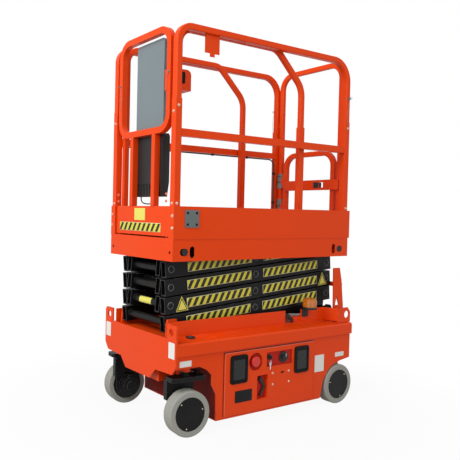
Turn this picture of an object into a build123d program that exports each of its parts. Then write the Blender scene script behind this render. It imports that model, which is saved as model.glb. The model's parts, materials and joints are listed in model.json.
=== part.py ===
"""Self-propelled electric scissor lift with a roll-out deck, as an assembly of separate pieces.

Frame: millimetres, +X towards the steered front wheels, +Y to the machine's left side, +Z up,
z = 0 on the floor, and x = y = 0 midway along and across the machine.
"""
import os
from math import atan2, cos, degrees, hypot, radians, sin, tan

from build123d import *

os.makedirs("parts", exist_ok=True)

# ---------------------------------------------------------------- driving dimensions
# whole machine
HALF_LENGTH = 700.0            # chassis and platform end at this distance, front and rear
HALF_WIDTH = 380.0             # over the ridges along the chassis
SHEET = 6.0                    # folded steel sheet of chassis and platform
FIT = 0.06                     # radial clearance of a pin that turns in its bore
OPEN_FIT = 0.3                 # radial clearance at a pivot where the linkage is opened
SEAT = 0.3                     # gap between a sliding piece and its seat
MOVE = 6.0                     # gap between pieces that pass each other

# wheels and steering
TYRE_R = 125.0
TYRE_W = 76.0
RIM_R = 92.0
WHEEL_OUT = 372.0              # outer face of the wheels from the middle plane
REAR_AXLE_X = -589.0
KING_X = 585.0                 # steering axis
KING_Y = 306.0
KING_R = 16.0
STEER_AT_REST = -4.8           # degrees, both front wheels
STEER_ARM = 80.0               # steering axis to tie rod pin
KNUCKLE_TOP = (300.0, 322.0)   # z of the knuckle's horizontal plate
KNUCKLE_X = (-105.0, 108.0)    # rear and front ends of that plate from the steering axis
HUB_R = 84.0                   # flange of the knuckle round the wheel motor
MOTOR_R = 52.0
AXLE_R = 22.0

# chassis
DECK_Z = 520.0                 # floor of the well that the scissors fold into
RIDGE_Z = (443.0, 512.0)
SIDE_Y = 365.0                 # outer face of the side panels
RIM_Y = 270.0                  # outer face of the wall round the well
RIM_TOP = 608.0
PANEL_TOP = 530.0              # top edge of the front panel, under its lugs
ARCH_Z = 370.0                 # underside of the chassis over the front wheels
FRONT_PILLAR = (360.0, 411.0)
REAR_PILLAR = -425.0
PILLAR_FOOT = 56.0
REAR_BOX_Y = 276.0             # half width of the chassis between the rear wheels
NOTCH_X = (-341.0, -204.0)     # notch for the lowering lever in the left wall
NOTCH_Z = 528.0
DOOR_X = (-345.0, 359.0)
DOOR_Z = (70.0, 426.0)
DOOR_GAP = 1.0                 # between the side panel and the door that covers its opening
DOOR_T = 7.0
HINGE_R = 4.0
VENT_X = (261.0, -244.0)       # centres of the louvred panels
VENT_Z = (255.0, 404.0)
VENT_W = 118.0
SLATS = 9
STOP_AT = (129.0, 354.0)       # emergency stop button and its round recess
STOP_R = 31.0
STOP_RECESS_R = 52.0
KEY_X = (-167.0, 43.0)         # shallow recess of the key switch and the turning knob
KEY_Z = (312.0, 397.0)
LEVER_X = (32.0, 116.0)        # deep recess of the brake lever
LEVER_Z = (131.0, 270.0)

# scissor stack
LEVELS = 4
PIN_X = (-617.0, 632.0)        # rear and front pins, folded
PIN_Z0 = 590.0                 # lowest pins
PITCH = 100.0                  # height between pins, folded
ARM_DEPTH = 90.0
ARM_WALL = 5.0
ARM_END = 38.0                 # arm beyond its end pins
OUTER_ARM_Y = (182.0, 225.0)
INNER_ARM_Y = (130.0, 172.0)
PIN_R = 15.0
CROSS_R = 23.0                 # cross tubes between the inner arms
ROLLER_R = 28.0
ROLLER_Y = (234.0, 256.0)

# lift cylinder
CYL_FOOT = 0.86                # place along inner arm 1, from its front end
CYL_HEAD = 0.11                # place along inner arm 2, from its front end
CYL_EYE_R = 34.0
CYL_SHAFT_R = 20.0
BARREL_R = 38.0
BARREL_L = 740.0
ROD_R = 22.0

# platform
PLAT_Y = 333.0                 # outer face of the toe boards
TOE_T = 5.0
BODY_Y = 330.0                 # outer face of the platform's lower body
BODY_Z = (941.0, 1063.0)
TOE_TOP = 1235.0
SLOT_X = (570.5, -557.0)       # upright slots in the sides of the body
SLOT_Z = (958.0, 1021.0)
SLOT_R = 17.0
DECK_T = 6.0
TREAD_X = (-590.0, -300.0)     # tread plate behind the roll-out deck
TREAD_Y = 200.0
TREAD_T = 2.0
RAIL_TOP = 2206.0
MID_RAIL_Z = (1606.0, 1647.0)
TUBE = 35.0                    # depth of the guard rail tube in the plane of its bends
MAIN_TUBE_W = 40.0             # its width across
EXT_TUBE_W = 28.0
TUBE_ROUND = 6.0
MAIN_FRONT_BEND = 82.0         # bend radii at the tube's centre line
MAIN_REAR_BEND = 130.0
REAR_FRAME_BEND = 95.0
REAR_LEG_Y = 264.5             # legs of the rear frame, beside the gate
REAR_LEG_W = 34.0
REAR_LEG_D = 30.0
SLEEVE_TOP = 1803.0            # lower posts of the side rails are this tall
SLEEVE = 4.0

# roll-out deck
EXT_DECK_Z = 1071.0
EXT_REAR = -311.0              # rear end of its deck and side rails
EXT_RAIL_TOP = 2207.0
EXT_FORK_X = -76.0             # where its top rail turns down to the rear post
EXT_POST_TOP = 1985.0
EXT_BENDS = (110.0, 130.0)     # bend radii of that slanting stretch
EXT_SLEEVE_TOP = 1742.0
RING_Z = (1633.0, 2207.0)
RING_BEND = 84.0
RING_OUT = 268.0               # half width of the end ring
BOARD_Z = (1655.0, 2160.0)
BOARD_T = 12.0
BOX_Z = (1288.0, 1369.0, 1638.0)   # foot, shoulder and top of the storage box
BOX_DEPTH = 48.0
BOX_RIBS = 9
GUARD_X = 536.0
GUARD_Y = (164.0, 240.0)
GUARD_Z = (1867.0, 1980.0)
FOLD = 46.0                    # width of the folds at the ends of the toe boards
POST_PAIR_Y = 114.0            # two posts under the end ring

# rear gate
GATE_Y = 230.0
GATE_Z = (1088.0, 1638.0)
GATE_BEND = 88.0
GATE_TUBE = 34.0
CHANNEL_Z = (1372.0, 1440.0)
CHANNEL_Y = (-197.0, 282.0)
CHANNEL_T = 4.0
HINGE_AXIS = (-653.0, -238.0)  # x and y of the gate's hinge pins
HINGE_HEIGHTS = (1444.0, 1261.0)
HINGE_KNUCKLE = 15.0           # half height of the gate's knuckle between the two of the leaf
HINGE_HALF = 53.0
HINGE_PIN_R = 6.0
LATCH_Y = (79.0, 117.0)
LATCH_SLOT_Y = (119.0, 156.0)
LATCH_Z = (1388.0, 1423.0)

PIECES = []


# ---------------------------------------------------------------- helpers
def keep(builder, name):
    """Label a finished piece and write its STEP file."""
    builder.part.label = name
    PIECES.append(name)
    export_step(builder.part, f"parts/{name}.step")


def block(x, y, z, mode=Mode.ADD):
    """A rectangular block between pairs of coordinates."""
    centre = [(pair[0] + pair[1]) / 2 for pair in (x, y, z)]
    with Locations(tuple(centre)):
        Box(abs(x[1] - x[0]), abs(y[1] - y[0]), abs(z[1] - z[0]), mode=mode)


def bar_x(y, z, x, radius, mode=Mode.ADD):
    """A round bar along X."""
    with Locations(Location(((x[0] + x[1]) / 2, y, z), (0, 90, 0))):
        Cylinder(radius, abs(x[1] - x[0]), mode=mode)


def bar_y(x, z, y, radius, mode=Mode.ADD):
    """A round bar along Y."""
    with Locations(Location((x, (y[0] + y[1]) / 2, z), (90, 0, 0))):
        Cylinder(radius, abs(y[1] - y[0]), mode=mode)


def bar_z(x, y, z, radius, mode=Mode.ADD):
    """A round bar along Z."""
    with Locations((x, y, (z[0] + z[1]) / 2)):
        Cylinder(radius, abs(z[1] - z[0]), mode=mode)


def plate_xz(points, y, mode=Mode.ADD):
    """A flat plate with an outline in X and Z, between two values of Y."""
    low, high = sorted(y)
    with BuildSketch(Plane.XZ.offset(-low)) as outline:
        with BuildLine():
            Polyline(*points, close=True)
        make_face()
    extrude(outline.sketch, amount=-(high - low), mode=mode)


def plate_yz(points, x, mode=Mode.ADD):
    """A flat plate with an outline in Y and Z, between two values of X."""
    low, high = sorted(x)
    with BuildSketch(Plane.YZ.offset(low)) as outline:
        with BuildLine():
            Polyline(*points, close=True)
        make_face()
    extrude(outline.sketch, amount=high - low, mode=mode)


def tube_along(points, radii, width, depth=TUBE, across=(0, 1, 0), rounding=TUBE_ROUND):
    """A rounded rectangular tube bent along corner points; width runs along the across direction."""
    with BuildLine() as path:
        FilletPolyline(*points, radius=radii)
    start = Plane(origin=path.line @ 0, x_dir=across, z_dir=path.line % 0)
    with BuildSketch(start) as section:
        RectangleRounded(width, depth, rounding)
    sweep(section.sketch, path=path.line)


def lead_radii(points):
    """Radius of a lead's arc at each inner point of its route, as large as the two runs allow."""
    radii = []
    for before, corner, after in zip(points, points[1:], points[2:]):
        run_in = Vector(*corner) - Vector(*before)
        run_out = Vector(*after) - Vector(*corner)
        shorter = min(run_in.length, run_out.length)
        radii.append(0.45 * shorter / tan(radians(run_in.get_angle(run_out)) / 2))
    print("radii of a lead", [round(radius, 1) for radius in radii])
    return radii


def pair(near, far, side):
    """Two Y values for the left side (side 1) or the right side (side -1)."""
    return (side * near, side * far)


# ---------------------------------------------------------------- chassis
pin_z = [PIN_Z0 + PITCH * level for level in range(LEVELS + 1)]
rear_pin, front_pin = PIN_X
front_inside = HALF_LENGTH - 10.0      # chassis sheet ends behind the front panel
rear_face = -HALF_LENGTH + 4.0
king_bore = KING_R + FIT
shelf_top = DECK_Z + 4.0

with BuildPart() as chassis_frame:
    for side in (1, -1):
        # side panel with both wheel arches and the door opening
        with BuildSketch(Plane.XZ.offset(-(SIDE_Y - SHEET) if side > 0 else SIDE_Y)):
            with BuildLine():
                Polyline(
                    (FRONT_PILLAR[1], PILLAR_FOOT), (FRONT_PILLAR[1], 202), (446, 262), (446, 317),
                    (479, 349), (540, ARCH_Z + 8), (560, ARCH_Z + 8),
                    (front_inside, ARCH_Z + 8), (front_inside, RIDGE_Z[0] + 20), (rear_face, RIDGE_Z[0] + 20),
                    (rear_face, 286), (-608, 274), (-552, 260), (-497, 225), (-453, 167),
                    (REAR_PILLAR - 7, 75),
                    (REAR_PILLAR, PILLAR_FOOT), close=True,
                )
            make_face()
            with Locations(((DOOR_X[0] + DOOR_X[1]) / 2, (DOOR_Z[0] + DOOR_Z[1]) / 2 - 6)):
                Rectangle(DOOR_X[1] - DOOR_X[0] - 30, DOOR_Z[1] - DOOR_Z[0] - 20, mode=Mode.SUBTRACT)
        extrude(amount=-SHEET)
        # ridge, shelf and the wall round the well
        plate_yz(
            [(side * y, z) for y, z in (
                (SIDE_Y - SHEET, RIDGE_Z[0]), (HALF_WIDTH, RIDGE_Z[0]), (HALF_WIDTH, RIDGE_Z[1] - 8),
                (HALF_WIDTH - 8, RIDGE_Z[1]), (RIM_Y, shelf_top), (RIM_Y - SHEET, DECK_Z),
                (RIM_Y - SHEET, DECK_Z - SHEET), (SIDE_Y - SHEET, RIDGE_Z[1] - 8))],
            (rear_face, front_inside),
        )
        block((-545, front_inside), pair(RIM_Y - SHEET, RIM_Y, side), (DECK_Z - 2, RIM_TOP))
        # track for the rear rollers of the lowest inner arms
        block((rear_pin - 34, rear_pin + 330), pair(ROLLER_Y[0] - 2, RIM_Y - SHEET, side),
              (DECK_Z - 2, PIN_Z0 - ROLLER_R - SEAT))
        # bracket of the fixed front pin
        plate_xz([(front_pin - 40, DECK_Z - 2), (front_pin + 40, DECK_Z - 2), (front_pin + 30, PIN_Z0 + 28),
                  (front_pin - 30, PIN_Z0 + 28)], pair(232, 246, side))
        # walls beside the rear wheels, and the arch plates over all four
        block((rear_face, REAR_PILLAR), pair(REAR_BOX_Y - SHEET, REAR_BOX_Y, side), (84, DECK_Z))
        block((rear_face, REAR_PILLAR), pair(REAR_BOX_Y - SHEET, SIDE_Y, side), (288, 288 + SHEET))
    # transverse plates and pans
    block((rear_face, front_inside), (-RIM_Y, RIM_Y), (DECK_Z - SHEET, DECK_Z))
    inside_y = (SHEET - SIDE_Y, SIDE_Y - SHEET)
    block((REAR_PILLAR, FRONT_PILLAR[1]), inside_y, (PILLAR_FOOT, PILLAR_FOOT + SHEET))
    block((FRONT_PILLAR[1] - SHEET, FRONT_PILLAR[1]), inside_y, (PILLAR_FOOT, DECK_Z))
    block((REAR_PILLAR, REAR_PILLAR + SHEET), inside_y, (PILLAR_FOOT, DECK_Z - SHEET))
    block((FRONT_PILLAR[1], front_inside), inside_y, (ARCH_Z, ARCH_Z + SHEET))
    block((rear_face, rear_face + SHEET), inside_y, (286, RIDGE_Z[1] - 8))
    block((rear_face, rear_face + SHEET), (-REAR_BOX_Y, REAR_BOX_Y), (84, DECK_Z))
    block((rear_face, REAR_PILLAR), (-REAR_BOX_Y, REAR_BOX_Y), (84, 84 + SHEET))
    block((front_inside - SHEET, front_inside), inside_y, (ARCH_Z, DECK_Z))
    # beam between the front wheels
    block((KING_X - 15, KING_X + 75), (-165, 165), (262, ARCH_Z + 2))
    for side in (1, -1):
        # housing of the steering axis
        bar_z(KING_X, side * KING_Y, (KNUCKLE_TOP[1] + 22, ARCH_Z + 50), 30)
        bar_z(KING_X, side * KING_Y, (KNUCKLE_TOP[1] + 20, ARCH_Z + 52), king_bore, mode=Mode.SUBTRACT)
        # stub axle of the rear wheel
        bar_y(REAR_AXLE_X, TYRE_R, pair(REAR_BOX_Y - 1, WHEEL_OUT - 12, side), AXLE_R)
        bar_y(REAR_AXLE_X, TYRE_R, pair(REAR_BOX_Y - 1, REAR_BOX_Y + 12, side), 46)
        bar_y(front_pin, PIN_Z0, pair(225, 260, side), PIN_R + FIT, mode=Mode.SUBTRACT)
    # notch for the lowering lever in the left wall
    block(NOTCH_X, (RIM_Y - 2 * SHEET, RIM_Y + 1), (NOTCH_Z, RIM_TOP + 1), mode=Mode.SUBTRACT)
keep(chassis_frame, "chassis_frame")

with BuildPart() as front_panel:
    half = [(HALF_WIDTH, PANEL_TOP), (HALF_WIDTH, 390), (344, 346), (186, 339), (130, 280)]
    plate_yz(half + [(-y, z) for y, z in reversed(half)], (front_inside, HALF_LENGTH))
keep(front_panel, "front_panel")

FRONT_LUG = (333.0, 567.0)
FRONT_LUG_R = 20.0
REAR_LUG = (-667.0, 565.0)
REAR_LUG_R = 24.0
LUG_T = 10.0
with BuildPart() as front_lugs:
    for side in (1, -1):
        inner = FRONT_LUG[0] - 41
        plate_yz([(side * y, z) for y, z in ((inner, PANEL_TOP), (HALF_WIDTH, PANEL_TOP), (HALF_WIDTH, 594),
                                             (HALF_WIDTH - 13, RIM_TOP), (inner, RIM_TOP))],
                 (HALF_LENGTH - LUG_T, HALF_LENGTH))
        bar_x(side * FRONT_LUG[0], FRONT_LUG[1], (HALF_LENGTH - LUG_T - 2, HALF_LENGTH + 2), FRONT_LUG_R,
              mode=Mode.SUBTRACT)
keep(front_lugs, "front_lugs")

with BuildPart() as rear_lugs:
    for side in (1, -1):
        plate_xz([(-585, 516), (-HALF_LENGTH, 516), (-HALF_LENGTH, 580), (-HALF_LENGTH + 24, RIM_TOP + 2),
                  (-585, RIM_TOP)], pair(360 - LUG_T, 360, side))
        plate = [(-545, RIM_Y - SHEET), (-545, RIM_Y), (-585, 360), (-585, 360 - LUG_T)]
        with BuildSketch(Plane.XY.offset(DECK_Z + 6)):
            with BuildLine():
                Polyline(*[(x, side * y) for x, y in plate], close=True)
            make_face()
        extrude(amount=RIM_TOP - DECK_Z - 6)
        bar_y(REAR_LUG[0], REAR_LUG[1], pair(340, 370, side), REAR_LUG_R, mode=Mode.SUBTRACT)
keep(rear_lugs, "rear_lugs")

# steps at the rear: two side plates joined by a rung, standing on the sloping shelf
LADDER_Y = (296.0, 304.0)
LADDER_TOP = 862.0
shelf_slope = (shelf_top - RIDGE_Z[1]) / (HALF_WIDTH - 8 - RIM_Y)
ladder_foot = shelf_top - shelf_slope * (LADDER_Y[0] - RIM_Y) + SEAT
with BuildPart() as access_ladder:
    for side in (1, -1):
        plate_xz([(-HALF_LENGTH, ladder_foot), (-606, ladder_foot), (-597, LADDER_TOP), (-656, LADDER_TOP),
                  (-676, 780), (-697, RIM_TOP)], pair(*LADDER_Y, side))
        plate_xz([(-655, 620), (-617, 620), (-634, 680)], pair(LADDER_Y[0] - 1, LADDER_Y[1] + 1, side),
                 mode=Mode.SUBTRACT)
    block((-690, -667), (-LADDER_Y[0] - 1, LADDER_Y[0] + 1), (735, 762))
keep(access_ladder, "access_ladder")

with BuildPart() as battery_pack:
    block((-300, 330), (-300, 300), (PILLAR_FOOT + SHEET, 330))
keep(battery_pack, "battery_pack")

# flashing beacon on a bracket above the wall round the well
BEACON = (-375.0, 310.0)
BEACON_R = 43.0
BEACON_Z = (613.0, 624.0, 682.0)   # foot, lens and top
with BuildPart() as beacon_base:
    bar_z(*BEACON, BEACON_Z[:2], BEACON_R + 2)
    block((BEACON[0] - 25, BEACON[0] + 25), (RIM_Y, RIM_Y + 4), (DECK_Z + 40, BEACON_Z[0] + 1))
    block((BEACON[0] - 25, BEACON[0] + 25), (RIM_Y, BEACON[1]), (BEACON_Z[0] - 3, BEACON_Z[0] + 1))
keep(beacon_base, "beacon_base")

with BuildPart() as beacon_lens:
    bar_z(*BEACON, BEACON_Z[1:], BEACON_R)
    fillet(beacon_lens.edges().group_by(Axis.Z)[-1], 20)
keep(beacon_lens, "beacon_lens")

# handle that lowers the platform by hand, in the notch of the left wall
with BuildPart() as lowering_lever:
    start = (NOTCH_X[1] - SEAT, 590)
    plate_xz([start, (start[0], start[1] - 12), (-268, 532), (-279, 536), (-276, 547), (-228, 590)],
             (RIM_Y - SHEET, RIM_Y))
keep(lowering_lever, "lowering_lever")

# ---------------------------------------------------------------- doors with their fittings
door_inner = SIDE_Y + DOOR_GAP
door_outer = door_inner + DOOR_T
PAN_T = 2.0                    # sheet of the pans behind the openings in the left door


def pan(x, z, depth):
    """A rectangular pan sunk into the left door."""
    floor = door_inner - depth
    block((x[0] - PAN_T, x[1] + PAN_T), (floor - PAN_T, door_inner + 1), (z[0] - PAN_T, z[1] + PAN_T))
    block(x, (floor, door_outer + 1), z, mode=Mode.SUBTRACT)


STOP_DEPTH = 8.0
KEY_DEPTH = 2.0
LEVER_DEPTH = 16.0
for side, name in ((1, "left_door"), (-1, "right_door")):
    with BuildPart() as door:
        block((DOOR_X[0] + HINGE_R + 1, DOOR_X[1]), pair(door_inner, door_outer, side), DOOR_Z)
        bar_z(DOOR_X[0], side * (door_inner + DOOR_T / 2), DOOR_Z, HINGE_R)
        block((DOOR_X[0], DOOR_X[0] + HINGE_R + 2), pair(door_inner + 1, door_outer - 1, side), DOOR_Z)
        if side > 0:
            bar_y(*STOP_AT, (door_inner - STOP_DEPTH - PAN_T, door_inner + 1), STOP_RECESS_R + PAN_T)
            bar_y(*STOP_AT, (door_inner - STOP_DEPTH, door_outer + 1), STOP_RECESS_R, mode=Mode.SUBTRACT)
            pan(KEY_X, KEY_Z, KEY_DEPTH)
            pan(LEVER_X, LEVER_Z, LEVER_DEPTH)
            block((-101, -73), (door_inner - 1, door_outer + 1), (262, 272), mode=Mode.SUBTRACT)
    keep(door, name)
    with BuildPart() as vents:
        for centre in VENT_X:
            block((centre - VENT_W / 2, centre + VENT_W / 2), pair(door_outer, door_outer + 2, side), VENT_Z)
            pitch = (VENT_Z[1] - VENT_Z[0] - 16) / SLATS
            for row in range(SLATS):
                top = VENT_Z[1] - 8 - row * pitch
                foot = top - pitch + 1
                slat = [(door_outer + 1, top), (door_outer + 7, foot + 3), (door_outer + 7, foot),
                        (door_outer + 1, foot)]
                plate_yz([(side * y, z) for y, z in slat], (centre - VENT_W / 2 + 7, centre + VENT_W / 2 - 7))
    keep(vents, name + "_vents")

stop_seat = door_inner - STOP_DEPTH + SEAT
with BuildPart() as emergency_stop:
    bar_y(*STOP_AT, (stop_seat, stop_seat + 10), 15)
    bar_y(*STOP_AT, (stop_seat + 9, stop_seat + 22), STOP_R)
    fillet(emergency_stop.edges().filter_by(GeomType.CIRCLE).group_by(Axis.Y)[-1], 6)
keep(emergency_stop, "emergency_stop")

key_seat = door_inner - KEY_DEPTH + SEAT
with BuildPart() as key_switch:
    bar_y(19, 369, (key_seat, key_seat + 9), 15)
    block((16, 22), (key_seat + 8, key_seat + 26), (360, 378))
    bar_y(-96, 356, (key_seat, key_seat + 5), 34)
    bar_y(-96, 356, (key_seat + 4, key_seat + 16), 15)
    block((-119, -73), (key_seat + 15, key_seat + 24), (351, 361))
keep(key_switch, "key_switch")

lever_seat = door_inner - LEVER_DEPTH + SEAT
with BuildPart() as brake_lever:
    bar_y(76, 244, (lever_seat, lever_seat + 12), 13)
    plate_xz([(82, 256), (88, 240), (56, 196), (84, 150), (72, 142), (40, 194), (66, 250)],
             (lever_seat + 3, lever_seat + 11))
keep(brake_lever, "brake_lever")

# ---------------------------------------------------------------- steering knuckles, tie rod, wheels
def at_king(side):
    """Frame of a knuckle: origin on the steering axis at the floor, turned by the steering at rest."""
    return Location((KING_X, side * KING_Y, 0), (0, 0, STEER_AT_REST))


wheel_mid = WHEEL_OUT - TYRE_W / 2 - KING_Y      # wheel's middle plane outboard of the steering axis
wheel_in = wheel_mid - TYRE_W / 2
for side, name in ((1, "left"), (-1, "right")):
    leg = pair(wheel_in - 18, wheel_in - 8, side)
    with BuildPart() as knuckle:
        # top plate with a rounded nose, and the leg that widens round the motor
        with BuildSketch(Plane.XY.offset(KNUCKLE_TOP[0])) as top_plate:
            with Locations((sum(KNUCKLE_X) / 2, side * (wheel_mid - 8) / 2 + side * 4)):
                RectangleRounded(KNUCKLE_X[1] - KNUCKLE_X[0], wheel_mid + 54, 16)
        extrude(top_plate.sketch, amount=KNUCKLE_TOP[1] - KNUCKLE_TOP[0])
        leg_top = KNUCKLE_TOP[0] + 1
        plate_xz([(-70, leg_top), (100, leg_top), (100, 200), (78, 150), (0, TYRE_R - 20), (-78, 150),
                  (-70, 200)], leg)
        bar_y(0, TYRE_R, leg, HUB_R)
        block((92, 102), pair(wheel_in - 38, wheel_in - 8, side), (190, KNUCKLE_TOP[0] + 1))
        bar_z(-STEER_ARM, 0, (KNUCKLE_TOP[1] - 1, KNUCKLE_TOP[1] + 19), 7)
        bar_z(0, 0, (KNUCKLE_TOP[1] - 1, ARCH_Z + 48), KING_R)
        bar_z(0, 0, (KNUCKLE_TOP[1] - 1, KNUCKLE_TOP[1] + 21.7), 26)
        bar_y(0, TYRE_R, pair(wheel_in - 9, wheel_mid + 26, side), AXLE_R)
    knuckle.part.locate(at_king(side))
    keep(knuckle, f"knuckle_{name}")
    with BuildPart() as motor:
        bar_y(0, TYRE_R, pair(wheel_in - 26, wheel_in - 18, side), MOTOR_R + 14)
        bar_y(0, TYRE_R, pair(wheel_in - 58, wheel_in - 25, side), MOTOR_R)
        bar_y(0, TYRE_R, pair(wheel_in - 64, wheel_in - 57, side), MOTOR_R - 22)
        terminal_z = TYRE_R + MOTOR_R
        block((-16, 16), pair(wheel_in - 50, wheel_in - 30, side), (terminal_z - 4, terminal_z + 14))
    motor.part.locate(at_king(side))
    keep(motor, f"drive_motor_{name}")

steer = radians(STEER_AT_REST)
rod_pin_dx = -STEER_ARM * cos(steer)
rod_pin_dy = -STEER_ARM * sin(steer)
with BuildPart() as tie_rod:
    z_rod = (KNUCKLE_TOP[1] + 0.5, KNUCKLE_TOP[1] + 16)
    for side in (1, -1):
        bar_z(KING_X + rod_pin_dx, side * KING_Y + rod_pin_dy, z_rod, 14)
    bar_y(KING_X + rod_pin_dx, KNUCKLE_TOP[1] + 8.5, (-KING_Y + rod_pin_dy, KING_Y + rod_pin_dy), 7.5)
    for side in (1, -1):
        bar_z(KING_X + rod_pin_dx, side * KING_Y + rod_pin_dy, (z_rod[0] - 1, z_rod[1] + 1), 7 + FIT,
              mode=Mode.SUBTRACT)
keep(tie_rod, "tie_rod")

wheel_table = [(place, side) for place in ("front", "rear") for side in (1, -1)]
for place, side in wheel_table:
    name = f"{place}_{'left' if side > 0 else 'right'}"
    if place == "front":
        where = at_king(side)
        mid = wheel_mid
    else:
        where = Location((REAR_AXLE_X, 0, 0))
        mid = WHEEL_OUT - TYRE_W / 2
    face = mid + TYRE_W / 2
    with BuildPart() as tyre:
        bar_y(0, TYRE_R, pair(mid - TYRE_W / 2, face, side), TYRE_R)
        fillet(tyre.edges().filter_by(GeomType.CIRCLE), 9)
        bar_y(0, TYRE_R, pair(mid - TYRE_W, face + 10, side), RIM_R, mode=Mode.SUBTRACT)
    tyre.part.locate(where)
    keep(tyre, f"tyre_{name}")
    with BuildPart() as rim:
        bar_y(0, TYRE_R, pair(mid - TYRE_W / 2 + 6, face - 2, side), RIM_R)
        bar_y(0, TYRE_R, pair(mid - TYRE_W / 2, face - 8, side), AXLE_R + FIT, mode=Mode.SUBTRACT)
    rim.part.locate(where)
    keep(rim, f"wheel_{name}")

# ---------------------------------------------------------------- scissor arms
tilt = atan2(PITCH, front_pin - rear_pin)
arm_length = hypot(PITCH, front_pin - rear_pin)
centre_x = (front_pin + rear_pin) / 2


def arm_bar(y, centre_z, slope):
    """One hollow rectangular arm, open at both ends; slope is 1 where it rises towards the front."""
    plane = Plane(origin=(centre_x, y[0], centre_z), x_dir=(cos(tilt), 0, slope * sin(tilt)),
                  z_dir=(0, 1, 0))
    with BuildSketch(plane) as outside:
        Rectangle(arm_length + 2 * ARM_END, ARM_DEPTH)
    extrude(outside.sketch, amount=y[1] - y[0])
    hollow = Plane(origin=(centre_x, y[0] + ARM_WALL, centre_z), x_dir=(cos(tilt), 0, slope * sin(tilt)),
                   z_dir=(0, 1, 0))
    with BuildSketch(hollow) as inside:
        Rectangle(arm_length + 2 * ARM_END + 2, ARM_DEPTH - 2 * ARM_WALL)
    extrude(inside.sketch, amount=y[1] - y[0] - 2 * ARM_WALL, mode=Mode.SUBTRACT)


for level in range(1, LEVELS + 1):
    low, high = pin_z[level - 1], pin_z[level]
    middle = (low + high) / 2
    last = level == LEVELS
    # the outer pair carries the shafts, which turn in the inner arms
    with BuildPart() as outer:
        for side in (1, -1):
            near, far = OUTER_ARM_Y
            arm_bar((side * near, side * far) if side > 0 else (side * far, side * near), middle, -1)
        front_reach = 250 if level == 1 else OUTER_ARM_Y[1] + 4
        rear_reach = ROLLER_Y[1] if last else OUTER_ARM_Y[1] + 4
        bar_y(front_pin, low, (-front_reach, front_reach), PIN_R)
        if level == 1:
            bar_y(front_pin, low, (-OUTER_ARM_Y[0] - 1, OUTER_ARM_Y[0] + 1), CROSS_R)
        bar_y(rear_pin, high, (-rear_reach, rear_reach), PIN_R)
        for side in (1, -1):
            bar_y(centre_x, middle, pair(INNER_ARM_Y[0] - 6, OUTER_ARM_Y[1] + 4, side), PIN_R)
            if last:
                bar_y(rear_pin, high, pair(*ROLLER_Y, side), ROLLER_R)
    keep(outer, f"outer_arms_{level}")
    with BuildPart() as inner:
        for side in (1, -1):
            near, far = INNER_ARM_Y
            arm_bar((side * near, side * far) if side > 0 else (side * far, side * near), middle, 1)
        for x, z in ((front_pin, high), (rear_pin, low)):
            bar_y(x, z, (-INNER_ARM_Y[0] - 1, INNER_ARM_Y[0] + 1), CROSS_R)
        bores = [(centre_x, middle, FIT)]
        if level < LEVELS:
            bores.append((front_pin, high, FIT))
        else:
            bar_y(front_pin, high, (-250, 250), PIN_R)
        if level > 1:
            bores.append((rear_pin, low, OPEN_FIT))
        else:
            bar_y(rear_pin, low, (-ROLLER_Y[1], ROLLER_Y[1]), PIN_R)
            for side in (1, -1):
                bar_y(rear_pin, low, pair(*ROLLER_Y, side), ROLLER_R)
            foot_x = front_pin - CYL_FOOT * (front_pin - rear_pin)
            foot_z = high - CYL_FOOT * PITCH
            bar_y(foot_x, foot_z, (-INNER_ARM_Y[0] - 1, INNER_ARM_Y[0] + 1), CYL_SHAFT_R)
        if level == 2:
            head_x = front_pin - CYL_HEAD * (front_pin - rear_pin)
            head_z = high - CYL_HEAD * PITCH
            bar_y(head_x + 68, head_z + 30, (-INNER_ARM_Y[0] - 1, INNER_ARM_Y[0] + 1), 20)
            for side in (1, -1):
                plate_xz([(head_x - 20, head_z - 20), (head_x + 20, head_z - 20), (head_x + 86, head_z + 20),
                          (head_x + 86, head_z + 42), (head_x + 50, head_z + 42), (head_x - 20, head_z + 18)],
                         pair(34, 44, side))
        for x, z, clearance in bores:
            bar_y(x, z, (-INNER_ARM_Y[1] - 5, INNER_ARM_Y[1] + 5), PIN_R + clearance, mode=Mode.SUBTRACT)
    keep(inner, f"inner_arms_{level}")

# ---------------------------------------------------------------- lift cylinder
cyl_angle = atan2(head_z - foot_z, head_x - foot_x)
cyl_closed = hypot(head_z - foot_z, head_x - foot_x)
cyl_place = Location((foot_x, 0, foot_z), (0, -degrees(cyl_angle), 0))
with BuildPart() as barrel:
    bar_y(0, 0, (-30, 30), CYL_EYE_R)
    bar_x(0, 0, (20, BARREL_L), BARREL_R)
    bar_x(0, 0, (BARREL_L, BARREL_L + 30), BARREL_R + 4)
    bar_x(0, 0, (90, BARREL_L + 40), ROD_R + FIT, mode=Mode.SUBTRACT)
    bar_y(0, 0, (-50, 50), CYL_SHAFT_R + FIT, mode=Mode.SUBTRACT)
barrel.part.locate(cyl_place)
keep(barrel, "cylinder_barrel")

with BuildPart() as rod:
    bar_x(0, 0, (cyl_closed - 840, cyl_closed - 24), ROD_R)
    bar_y(cyl_closed, 0, (-28, 28), 28)
    bar_y(cyl_closed, 0, (-30, 30), 16, mode=Mode.SUBTRACT)
rod.part.locate(cyl_place)
keep(rod, "cylinder_rod")

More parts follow.
